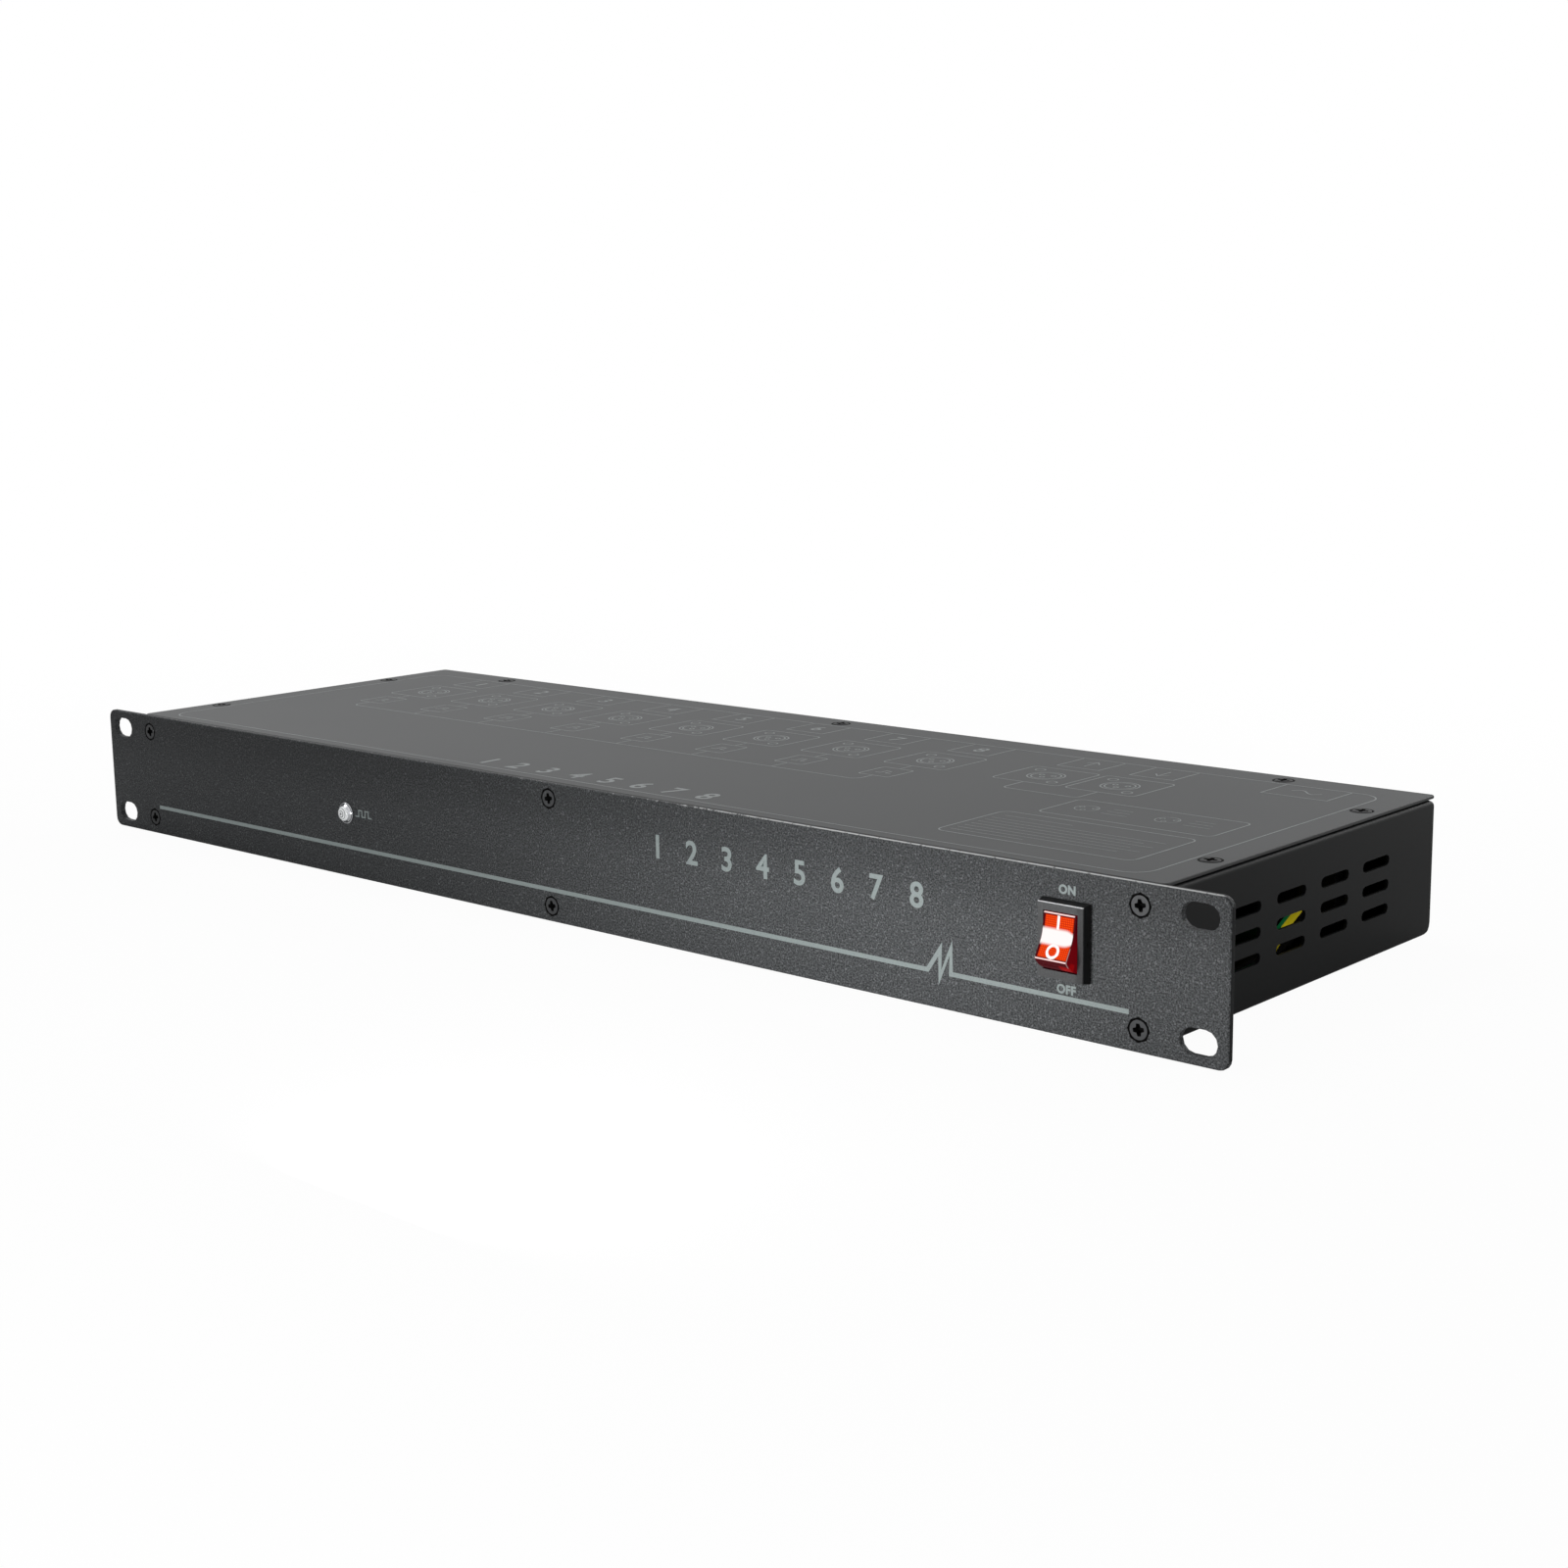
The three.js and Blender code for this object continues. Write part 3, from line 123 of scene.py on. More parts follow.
class Shader:
    """A node material in the making."""

    def __init__(self, owner: Material | bpy.types.World) -> None:
        """Starts an empty node tree.

        Args:
            owner: The material or world that the nodes belong to.
        """
        owner.use_nodes = True
        self.owner = owner
        self.tree = owner.node_tree
        self.tree.nodes.clear()

    @classmethod
    def named(cls, name: str) -> Shader:
        """Starts a material by its name."""
        return cls(bpy.data.materials.new(name))

    def node(
        self,
        kind: str,
        settings: dict[str, object] | None = None,
        sockets: dict[str | int, object] | None = None,
    ) -> bpy.types.Node:
        """Makes a node, sets its settings and then its sockets.

        Args:
            kind: The node's type.
            settings: Properties of the node.
            sockets: Values or wires for its inputs, by name or number.

        Returns:
            The new node.
        """
        made = self.tree.nodes.new(kind)
        for key, value in (settings or {}).items():
            setattr(made, key, value)
        for key, value in (sockets or {}).items():
            if isinstance(value, Wire):
                self.tree.links.new(value.socket, made.inputs[key])
            else:
                made.inputs[key].default_value = value
        return made

    def wire(self, node: bpy.types.Node, output: str | int = 0) -> Wire:
        """Wraps one output of a node."""
        return Wire(self, node.outputs[output])

    def maths(self, operation: str, *values: Wire | float, clamp: bool = False) -> Wire:
        """Adds a Math node, whose result can be kept from 0 to 1."""
        settings = {"operation": operation, "use_clamp": clamp}
        return self.wire(self.node("ShaderNodeMath", settings, dict(enumerate(values))))

    def place(self) -> Wire:
        """Gives the point's place on the piece, in metres."""
        return self.wire(self.node("ShaderNodeTexCoord"), "Object")

    def about(self, centre: Vector, turn: Vector | None = None) -> Wire:
        """Gives the point's place about a centre, with an optional turn.

        Args:
            centre: The origin of the pattern.
            turn: The pattern's rotation, in radians about X, Y and Z.

        Returns:
            The place in the pattern's own frame.
        """
        sockets = {
            "Vector": self.place(),
            "Location": tuple(centre),
            "Rotation": tuple(turn or Vector()),
        }
        return self.wire(self.node("ShaderNodeMapping", {"vector_type": "TEXTURE"}, sockets))

    def parts(self, vector: Wire) -> tuple[Wire, Wire, Wire]:
        """Splits a vector into its X, Y and Z."""
        split = self.node("ShaderNodeSeparateXYZ", sockets={"Vector": vector})
        return self.wire(split, 0), self.wire(split, 1), self.wire(split, 2)

    def noise(self, place: Wire, size: float, detail: float = 2.0, rough: float = 0.5) -> Wire:
        """Makes smooth noise from 0 to 1, with blobs of some size in metres and finer layers."""
        sockets = {"Vector": place, "Scale": 1 / size, "Detail": detail, "Roughness": rough}
        return self.wire(self.node("ShaderNodeTexNoise", sockets=sockets), 0)

    def grains(self, place: Wire, size: float) -> Wire:
        """Gives each small cell of space its own value from 0 to 1."""
        cells = self.node("ShaderNodeTexVoronoi", sockets={"Vector": place, "Scale": 1 / size})
        return self.parts(self.wire(cells, "Color"))[0]

    def step(self, value: Wire, low: float, high: float) -> Wire:
        """Rises smoothly from 0 to 1 while a value goes from low to high.

        Args:
            value: The value.
            low: Where the rise starts.
            high: Where it ends.

        Returns:
            The mask.
        """
        settings = {"interpolation_type": "SMOOTHSTEP", "clamp": True}
        sockets = {"Value": value, "From Min": low, "From Max": high}
        return self.wire(self.node("ShaderNodeMapRange", settings, sockets))

    def band(self, value: Wire, low: float, high: float, edge: float) -> Wire:
        """Is 1 between two values and falls to 0 over the width of an edge outside them."""
        return self.step(value, low - edge, low) * (1 - self.step(value, high, high + edge))

    def blend(self, share: Wire | float, first: Wire | Colour, second: Wire | Colour) -> Wire:
        """Mixes two colours.

        Args:
            share: How much of the second there is, from 0 to 1.
            first: The first colour.
            second: The second colour.

        Returns:
            The mixed colour.
        """
        colours = [c if isinstance(c, Wire) else (*c, 1.0) for c in (first, second)]
        sockets = {"Factor": share, 6: colours[0], 7: colours[1]}
        mixed = self.node("ShaderNodeMix", {"data_type": "RGBA"}, sockets)
        return self.wire(mixed, 2)

    def bump(self, height: Wire, distance: float, strength: float = 1.0) -> Wire:
        """Turns a height from 0 to 1 into a normal, with the distance in metres that 1 stands for."""
        sockets = {"Height": height, "Distance": distance, "Strength": strength}
        return self.wire(self.node("ShaderNodeBump", sockets=sockets))

    def finish(self, sockets: dict[str, object]) -> Material:
        """Ends the graph in a Principled shader.

        Args:
            sockets: Values and wires for the shader's inputs.

        Returns:
            The finished material.
        """
        surface = self.node("ShaderNodeBsdfPrincipled", sockets=sockets)
        self.node("ShaderNodeOutputMaterial", sockets={"Surface": self.wire(surface)})
        return self.owner


def scaled(colour: Colour, factor: float) -> Colour:
    """Makes a colour lighter or darker by a factor."""
    return tuple(channel * factor for channel in colour)


# Finishes


@dataclass(frozen=True)
class PowderCoat:
    """Baked powder: a fine pebbled skin with sparse pale specks painted in as glints, painted shade on
    its ends, towards its top and behind its top edge, and a painted highlight along its top edge.
    """

    name: str
    colour: Colour
    low: Vector
    high: Vector
    grain: float = 0.5 * MM
    fleck: float = 0.45 * MM
    contrast: float = 0.55
    relief: float = 0.09 * MM
    roughness: float = 0.46
    specular: float = 0.05
    shade: float = 0.3
    shade_depth: float = 22 * MM
    top_highlight: Colour = (0.55, 0.56, 0.56)

    def material(self) -> Material:
        """Makes the material.

        Returns:
            The material.
        """
        shader = Shader.named(self.name)
        place = shader.place()
        pebbles = shader.noise(place, self.grain, detail=3.0, rough=0.65)
        cells = shader.grains(place, self.fleck)
        cloud = shader.noise(place, 60 * self.grain)
        light = shader.step(pebbles, 0.46, 0.66)
        dark = shader.step(pebbles, 0.5, 0.34)
        # Sparse pale specks are painted glints of light on the grain.
        specks = shader.step(cells, 0.92, 0.96) * shader.step(pebbles, 0.42, 0.5)
        base = shader.blend(cloud, scaled(self.colour, 0.88), scaled(self.colour, 1.12))
        paler = shader.blend(light, base, scaled(self.colour, 1.0 + 2 * self.contrast))
        tone = shader.blend(dark, paler, scaled(self.colour, 1.0 - self.contrast))
        glint_specked = shader.blend(specks * 0.8, tone, scaled(self.colour, 2.9))
        x, y, z = shader.parts(place)
        side, face, top = self.high.x, self.low.y, self.high.z
        # Painted shade on the panel's two end faces.
        ends = shader.step(abs(x), side - 0.1 * MM, side - 0.04 * MM)
        end_shaded = shader.blend(ends, glint_specked, scaled(self.colour, 0.3))
        # Painted shade: the face grows darker towards its top.
        upper = shader.step(z, top - self.shade_depth, top - 2 * MM)
        shaded = shader.blend(upper * self.shade, end_shaded, scaled(self.colour, 0.2))
        rim = shader.step(z, top - 0.28 * MM, top - 0.06 * MM)
        # Painted shade on the top face, behind its front edge.
        behind = rim * shader.step(y, face + 0.7 * MM, face + 1.0 * MM)
        edged = shader.blend(behind, shaded, scaled(self.colour, 0.1))
        # A broken painted highlight along the top front edge, stronger towards the right end.
        rim = rim * shader.step(y, face + 0.9 * MM, face + 0.5 * MM)
        along = shader.step(x, side * 0.05, side * 0.48)
        patches = shader.noise(place, 1.6 * MM, detail=3.0, rough=0.7)
        broken_highlight = shader.step(patches + along * 0.3, 0.62, 0.74)
        return shader.finish(
            {
                "Base Color": shader.blend(rim * broken_highlight, edged, self.top_highlight),
                "Roughness": self.roughness + pebbles * 0.16 - 0.08,
                "Specular IOR Level": self.specular,
                "Normal": shader.bump(pebbles, self.relief),
            }
        )


@dataclass(frozen=True)
class SatinPaint:
    """Smooth paint with a faint orange peel and slow changes of tone."""

    name: str
    colour: Colour
    roughness: float
    specular: float = 0.5
    peel: float = 1.6 * MM
    relief: float = 0.004 * MM

    def material(self) -> Material:
        """Makes the material.

        Returns:
            The material.
        """
        shader = Shader.named(self.name)
        place = shader.place()
        peel = shader.noise(place, self.peel)
        dust = shader.noise(place, self.peel / 6, rough=0.7)
        cloud = shader.noise(place, 50 * self.peel)
        specks = shader.step(dust, 0.68, 0.78)
        base = shader.blend(cloud, scaled(self.colour, 0.9), scaled(self.colour, 1.1))
        return shader.finish(
            {
                "Base Color": shader.blend(specks * 0.25, base, scaled(self.colour, 1.6)),
                "Roughness": self.roughness + cloud * 0.08 - 0.04 + dust * 0.04,
                "Specular IOR Level": self.specular,
                "Normal": shader.bump(peel + dust * 0.3, self.relief),
            }
        )


@dataclass(frozen=True)
class Moulding:
    """Moulded plastic with a fine spark-eroded grain."""

    name: str
    colour: Colour
    roughness: float = 0.42
    specular: float = 0.3
    grain: float = 0.18 * MM
    relief: float = 0.006 * MM

    def material(self) -> Material:
        """Makes the material.

        Returns:
            The material.
        """
        shader = Shader.named(self.name)
        place = shader.place()
        grain = shader.noise(place, self.grain, rough=0.6)
        flow = shader.noise(place, 40 * self.grain, detail=1.0)
        return shader.finish(
            {
                "Base Color": shader.blend(flow, scaled(self.colour, 0.8), scaled(self.colour, 1.25)),
                "Roughness": self.roughness + grain * 0.14 - 0.07,
                "Specular IOR Level": self.specular,
                "Normal": shader.bump(grain, self.relief),
            }
        )


@dataclass(frozen=True)
class EdgedMoulding:
    """Moulded plastic with a grained face, painted shade on its flanks, its top and the face's right
    border, and a painted highlight along its upper edge.
    """

    name: str
    colour: Colour
    low: Vector
    high: Vector
    roughness: float = 0.4
    specular: float = 0.08
    grain: float = 0.5 * MM
    # The colour of the painted highlight along the upper edge.
    pale: Colour = (0.62, 0.63, 0.64)

    def material(self) -> Material:
        """Makes the material.

        Returns:
            The material.
        """
        shader = Shader.named(self.name)
        place = shader.place()
        grain = shader.noise(place, self.grain, detail=3.0, rough=0.6)
        x, y, z = shader.parts(place)
        # Painted shade on the flanks and on the top, behind the front face.
        flank_shade = shader.step(y, self.low.y + 0.3 * MM, self.low.y + 0.42 * MM)
        worn = shader.blend(grain, scaled(self.colour, 0.6), scaled(self.colour, 1.4))
        # A painted shadow of the rocker on the face's right border.
        right = shader.step(x, self.high.x - 3.2 * MM, self.high.x - 1.8 * MM)
        face = shader.blend(right * 0.45, worn, scaled(self.colour, 0.3))
        tone = shader.blend(flank_shade, face, scaled(self.colour, 0.18))
        # A painted highlight along the upper front edge, broken by the grain.
        edge = shader.step(z, self.high.z - 0.76 * MM, self.high.z - 0.66 * MM)
        edge = edge * shader.step(y, self.low.y + 0.3 * MM, self.low.y + 0.2 * MM)
        return shader.finish(
            {
                "Base Color": shader.blend(edge * shader.step(grain, 0.3, 0.45), tone, self.pale),
                "Roughness": self.roughness + grain * 0.14 - 0.07,
                "Specular IOR Level": self.specular,
                "Normal": shader.bump(grain, 0.02 * MM),
            }
        )


@dataclass(frozen=True)
class Metal:
    """Plated or blackened metal with fine scratches along one axis."""

    name: str
    colour: Colour
    roughness: float
    scratch: float = 0.12 * MM
    stretch: float = 12.0
    metallic: float = 1.0

    def material(self) -> Material:
        """Makes the material.

        Returns:
            The material.
        """
        shader = Shader.named(self.name)
        sockets = {"Vector": shader.place(), "Scale": (1.0, 1.0, 1 / self.stretch)}
        drawn = shader.wire(shader.node("ShaderNodeMapping", sockets=sockets))
        lines = shader.noise(drawn, self.scratch)
        stains = shader.noise(shader.place(), 20 * self.scratch)
        return shader.finish(
            {
                "Base Color": shader.blend(stains, scaled(self.colour, 0.88), self.colour),
                "Metallic": self.metallic,
                "Roughness": self.roughness + lines * 0.12 - 0.04,
                "Normal": shader.bump(lines, 0.002 * MM),
            }
        )


@dataclass(frozen=True)
class Ink:
    """Screen-printed ink that breaks up a little over the grain below it, and may have a painted glow.
    """

    name: str
    colour: Colour
    roughness: float = 0.55
    grain: float = 0.4 * MM
    wear: float = 0.35
    # How strongly the ink glows: a painted glow that lightens it.
    lift: float = 0.0

    def material(self) -> Material:
        """Makes the material.

        Returns:
            The material.
        """
        shader = Shader.named(self.name)
        grain = shader.noise(shader.place(), self.grain, detail=3.0, rough=0.7)
        thin = shader.step(grain, 0.45, 0.75) * self.wear
        colour = shader.blend(thin, self.colour, scaled(self.colour, 0.35))
        return shader.finish(
            {
                "Base Color": colour,
                "Roughness": self.roughness + grain * 0.1,
                "Emission Color": colour,
                "Emission Strength": self.lift,
                "Normal": shader.bump(grain, 0.01 * MM),
            }
        )


@dataclass(frozen=True)
class LitLens:
    """The rocker's clear red moulding, lit by the neon lamp behind its middle."""

    name: str
    pivot: Vector
    tilt: float
    half_width: float = 5 * MM
    half_chord: float = 6.1 * MM
    front: float = -3.45 * MM
    window_half: float = 5.3 * MM
    window_sides: tuple[float, float] = (-4.1 * MM, 4.3 * MM)
    tube_bend: float = 30 * MM
    tube_ends: tuple[float, float] = (-4.7 * MM, 4.5 * MM)
    red: Colour = (0.04, 0.001, 0.001)
    margin: Colour = (0.05, 0.001, 0.004)
    deep: Colour = (0.52, 0.003, 0.001)
    glow: Colour = (0.98, 0.085, 0.004)
    # The colour of the painted highlight lines along the edges.
    edge: Colour = (1.0, 0.72, 0.7)
    hot: Colour = (1.0, 0.97, 0.96)
    ribs: float = 0.55 * MM

    def material(self) -> Material:
        """Makes the material.

        Returns:
            The material.
        """
        shader = Shader.named(self.name)
        across, depth, up = shader.parts(shader.about(self.pivot, Vector((self.tilt, 0, 0))))
        front = shader.step(depth, self.front + 0.25 * MM, self.front - 0.25 * MM)
        within = shader.band(across, *self.window_sides, 0.3 * MM)
        weave = self._rib(shader, across) * self._rib(shader, up)
        window = shader.band(abs(up), 0.0, self.window_half, 0.3 * MM) * within * front
        face = shader.blend(window, self.margin, self.deep)
        sparkled = shader.blend(window * (0.3 + weave * 0.7), face, self.glow)
        sided = shader.blend(self._flank(shader, across, depth, up), sparkled, self.deep)
        # Painted highlights: pale lines along the top and bottom edges of the face and down its lower
        # right side.
        tips = shader.band(abs(up), self.half_chord - 0.3 * MM, self.half_chord, 0.08 * MM)
        tips = tips * shader.band(across, -4.95 * MM, 4.45 * MM, 0.1 * MM)
        corner = shader.band(across, 4.6 * MM, 4.75 * MM, 0.08 * MM)
        corner = corner * shader.step(up, -1.8 * MM, -2.6 * MM)
        lines = shader.maths("MAXIMUM", tips, corner * 0.35)
        highlighted = shader.blend(lines * front, sided, self.edge)
        stub = shader.step(abs(across), self.half_width + 0.1 * MM, self.half_width + 0.3 * MM)
        round_end = across * across * (1 / self.tube_bend) * shader.step(across, 2.0 * MM, 4.6 * MM)
        tube = abs(up - 0.05 * MM) + round_end
        lit = shader.step(tube, 2.6 * MM, 1.5 * MM) * shader.band(across, *self.tube_ends, 0.2 * MM)
        shining = shader.blend(lit * front, highlighted, self.hot)
        return shader.finish(
            {
                "Base Color": shader.blend(weave * 0.4, scaled(self.red, 0.5), self.red),
                "Roughness": 0.1 + weave * 0.04,
                "IOR": 1.49,
                "Specular IOR Level": 0.03,
                "Emission Color": shader.blend(stub, shining, BLACK),
                "Emission Strength": 1.0,
                "Normal": shader.bump(weave * front, 0.02 * MM, 0.3),
            }
        )

    def _flank(self, shader: Shader, across: Wire, depth: Wire, up: Wire) -> Wire:
        """Lights the rocker's sides and its lower end, where the glow runs out along the moulding.

        Args:
            shader: The graph.
            across: The place across the rocker.
            depth: The place in front of the pivot or behind it.
            up: The place along the rocker.

        Returns:
            How brightly each point glows.
        """
        side = shader.step(across, self.half_width - 0.12 * MM, self.half_width - 0.04 * MM)
        side = side * shader.step(up, 3.5 * MM, -3.0 * MM) * 0.14
        corner = shader.band(across, 2.4 * MM, 4.6 * MM, 1.2 * MM)
        spill = corner * shader.band(depth, -3.2 * MM, -1.8 * MM, 0.9 * MM)
        return shader.maths("MAXIMUM", side, spill * shader.step(up, -5.2 * MM, -6.2 * MM) * 0.5)

    def _rib(self, shader: Shader, along: Wire) -> Wire:
        """Makes one set of the fine ribs behind the lens's face, across a coordinate."""
        wave = shader.maths("SINE", along * (2 * math.pi / self.ribs))
        return shader.step(wave, -0.9, 0.3)


@dataclass(frozen=True)
class LampLens:
    """The lamp's clear resin, with painted rings and a painted dark middle that stand for the bright
    cup and its chip inside it, and a faint painted glow.
    """

    name: str
    axis: Vector
    clear: Colour = (0.9, 0.92, 0.93)
    shade: Colour = (0.27, 0.28, 0.29)
    chip: Colour = (0.22, 0.23, 0.24)

    def material(self) -> Material:
        """Makes the material.

        Returns:
            The material.
        """
        shader = Shader.named(self.name)
        across, _, up = shader.parts(shader.about(self.axis))
        radius = shader.maths("SQRT", across * across + up * up)
        swirl = shader.noise(shader.place(), 1.2 * MM)
        radius = radius + swirl * (0.2 * MM)
        # Painted rings and a dark middle stand for the cup and chip seen through the resin, and the
        # same colours make a faint painted glow.
        outer = shader.band(radius, 1.85 * MM, 2.0 * MM, 0.12 * MM)
        inner = shader.band(radius, 1.1 * MM, 1.3 * MM, 0.14 * MM)
        painted_rings = shader.maths("MAXIMUM", outer * 0.8, inner)
        middle = shader.step(radius, 0.75 * MM, 0.5 * MM)
        rings = shader.blend(painted_rings, self.clear, self.shade)
        return shader.finish(
            {
                "Base Color": shader.blend(middle, rings, self.chip),
                "Roughness": 0.08 + swirl * 0.06,
                "Emission Color": shader.blend(middle, rings, self.chip),
                "Emission Strength": 0.24,
                "Specular IOR Level": 0.6,
                "Transmission Weight": 0.15,
                "IOR": 1.5,
                "Normal": shader.bump(swirl, 0.03 * MM),
            }
        )


@dataclass(frozen=True)
class Resin:
    """Clear resin or glass."""

    name: str
    tint: Colour = (0.96, 0.98, 1.0)
    roughness: float = 0.03

    def material(self) -> Material:
        """Makes the material.

        Returns:
            The material.
        """
        shader = Shader.named(self.name)
        swirl = shader.noise(shader.place(), 2 * MM, detail=1.0)
        return shader.finish(
            {
                "Base Color": shader.blend(swirl, self.tint, scaled(self.tint, 0.94)),
                "Roughness": self.roughness + swirl * 0.03,
                "IOR": 1.5,
                "Transmission Weight": 1.0,
            }
        )


@dataclass(frozen=True)
class StripedLead:
    """Insulation with a stripe along one side.

    A faint glow stands for the light that leaks into the case.
    """

    name: str
    colour: Colour
    stripe: Colour
    side: Vector
    leak: float = 0.22
    leak_low: float = 16 * MM

    def material(self) -> Material:
        """Makes the material.

        Returns:
            The material.
        """
        shader = Shader.named(self.name)
        normal = shader.wire(shader.node("ShaderNodeNewGeometry"), "Normal")
        sockets = {0: normal, 1: tuple(self.side.normalized())}
        facing = shader.node("ShaderNodeVectorMath", {"operation": "DOT_PRODUCT"}, sockets)
        stripe = shader.step(shader.wire(facing, "Value"), 0.3, 0.36)
        place = shader.place()
        grain = shader.noise(place, 0.5 * MM)
        colour = shader.blend(stripe, self.colour, self.stripe)
        height = shader.parts(place)[2]
        lit = shader.step(height, self.leak_low, self.leak_low + 3 * MM)
        return shader.finish(
            {
                "Base Color": colour,
                "Roughness": 0.38 + grain * 0.12,
                "Emission Color": shader.blend(lit, BLACK, colour),
                "Emission Strength": self.leak,
                "Normal": shader.bump(grain, 0.01 * MM),
            }
        )


@dataclass(frozen=True)
class SolderMask:
    """A board's green mask with darker tracks under it."""

    name: str
    colour: Colour = (0.002, 0.014, 0.005)

    def material(self) -> Material:
        """Makes the material.

        Returns:
            The material.
        """
        shader = Shader.named(self.name)
        tracks = shader.grains(shader.place(), 3 * MM)
        edge = shader.step(tracks, 0.45, 0.55)
        return shader.finish(
            {
                "Base Color": shader.blend(edge, self.colour, scaled(self.colour, 1.8)),
                "Roughness": 0.45 + edge * 0.1,
                "Specular IOR Level": 0.1,
                "Normal": shader.bump(edge, 0.03 * MM),
            }
        )


class Finishes:
    """Every material of the splitter, made once."""

    def __init__(self, rocker_pivot: Vector, rocker_tilt: float) -> None:
        """Makes the materials.

        Args:
            rocker_pivot: The point that the rocker turns about.
            rocker_tilt: How far the rocker leans, in radians.
        """
        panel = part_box("front_panel")
        self.panel = PowderCoat("panel powder coat", (0.07, 0.073, 0.0755), *panel).material()
        self.cover = SatinPaint("cover paint", (0.0535, 0.0555, 0.0565), 0.55, 0.15).material()
        self.tray = SatinPaint("tray paint", (0.0075, 0.008, 0.0082), 0.42, 0.08).material()
        self.screw = SatinPaint("blackened steel", (0.016, 0.016, 0.017), 0.4, 0.06).material()
        self.screw_face = SatinPaint("screw face", (0.075, 0.077, 0.08), 0.34, 0.12).material()
        # Painted shade for recesses, countersinks and the gaps round screw heads.
        self.recess = Moulding("shaded recess", (0.003, 0.003, 0.003), 0.6, 0.02).material()
        self.moulding = Moulding("black moulding", (0.018, 0.018, 0.019)).material()
        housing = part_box("switch_housing")
        self.bezel = EdgedMoulding("switch bezel", (0.088, 0.09, 0.092), *housing).material()
        self.insert = Moulding("connector insert", (0.012, 0.012, 0.013), 0.3).material()
        self.lens = LitLens("lit rocker", rocker_pivot, rocker_tilt).material()
        self.mark = Ink("rocker marks", (0.98, 0.95, 0.94), wear=0.03).material()
        self.chrome = Metal("chrome", (0.55, 0.56, 0.58), 0.12).material()
        self.resin = Resin("clear resin").material()
        self.lamp_lens = LampLens("lamp lens", middle_of("indicator_bezel")).material()
        self.cup = Metal("lamp cup", (0.82, 0.82, 0.8), 0.2).material()
        self.nickel = Metal("satin nickel", (0.44, 0.44, 0.425), 0.3).material()
        self.contact = Metal("contact plating", (0.72, 0.68, 0.55), 0.24, metallic=0.7).material()
        self.blade = Metal("blade plating", (0.55, 0.55, 0.53), 0.3, metallic=0.6).material()
        self.zinc = Metal("zinc plating", (0.55, 0.56, 0.58), 0.35).material()
        # The panel's ink is lightened by a painted glow.
        self.ink = Ink("pale ink", (0.2, 0.232, 0.229), lift=0.38).material()
        self.fine_ink = Ink("cover ink", (0.17, 0.185, 0.185), wear=0.5).material()
        self.board = SolderMask("solder mask").material()
        self.lead = Moulding("lead insulation", (0.008, 0.008, 0.008), 0.6, 0.08).material()
        yellow, green, side = (0.95, 0.78, 0.015), (0.01, 0.2, 0.06), Vector((-0.52, -0.47, 0.7))
        self.earth = StripedLead("earth insulation", yellow, green, side).material()


# Outlines


def circle(radius: float, steps: int, centre: Point = (0.0, 0.0)) -> Outline:
    """Gives the points of a circle, counter-clockwise."""
    return arc(centre, radius, 0.0, 2 * math.pi, steps)[:-1]


def arc(centre: Point, radius: float, start: float, end: float, steps: int) -> Outline:
    """Gives the points of an arc, both ends included.

    Args:
        centre: The arc's centre.
        radius: Its radius.
        start: The angle of its first point, in radians.
        end: The angle of its last point.
        steps: How many straight steps it is made of.

    Returns:
        The points.
    """
    x, y = centre
    angles = [start + (end - start) * i / steps for i in range(steps + 1)]
    return [Vector((x + radius * math.cos(a), y + radius * math.sin(a))) for a in angles]


def rounded_box(low: Point, high: Point, radius: float, steps: int) -> Outline:
    """Gives the outline of a rectangle with round corners, counter-clockwise.

    Args:
        low: Its lower left corner.
        high: Its upper right corner.
        radius: The radius of its corners.
        steps: How many straight steps each corner has.

    Returns:
        The points.
    """
    left, foot = low[0] + radius, low[1] + radius
    right, top = high[0] - radius, high[1] - radius
    centres = [(left, foot), (right, foot), (right, top), (left, top)]
    points = []
    for corner, centre in enumerate(centres):
        start = (corner + 2) * QUARTER
        points += arc(centre, radius, start, start + QUARTER, steps)
    return points


def box(low: Point, high: Point) -> Outline:
    """Gives the four corners of a rectangle, counter-clockwise."""
    corners = ((low[0], low[1]), (high[0], low[1]), (high[0], high[1]), (low[0], high[1]))
    return [Vector(p) for p in corners]


# Forms


class Side(Enum):
    """The sides of the case that pieces face, each with the axes of a flat form that faces it."""

    FRONT = ((1, 0, 0), (0, 0, 1), (0, -1, 0))
    REAR = ((-1, 0, 0), (0, 0, 1), (0, 1, 0))
    TOP = ((1, 0, 0), (0, 1, 0), (0, 0, 1))

    def at(self, point: Vector) -> Matrix:
        """Gives the transform that puts a form's origin at a point and faces it this way."""
        turn = Matrix(self.value).transposed().to_4x4()
        return Matrix.Translation(point) @ turn


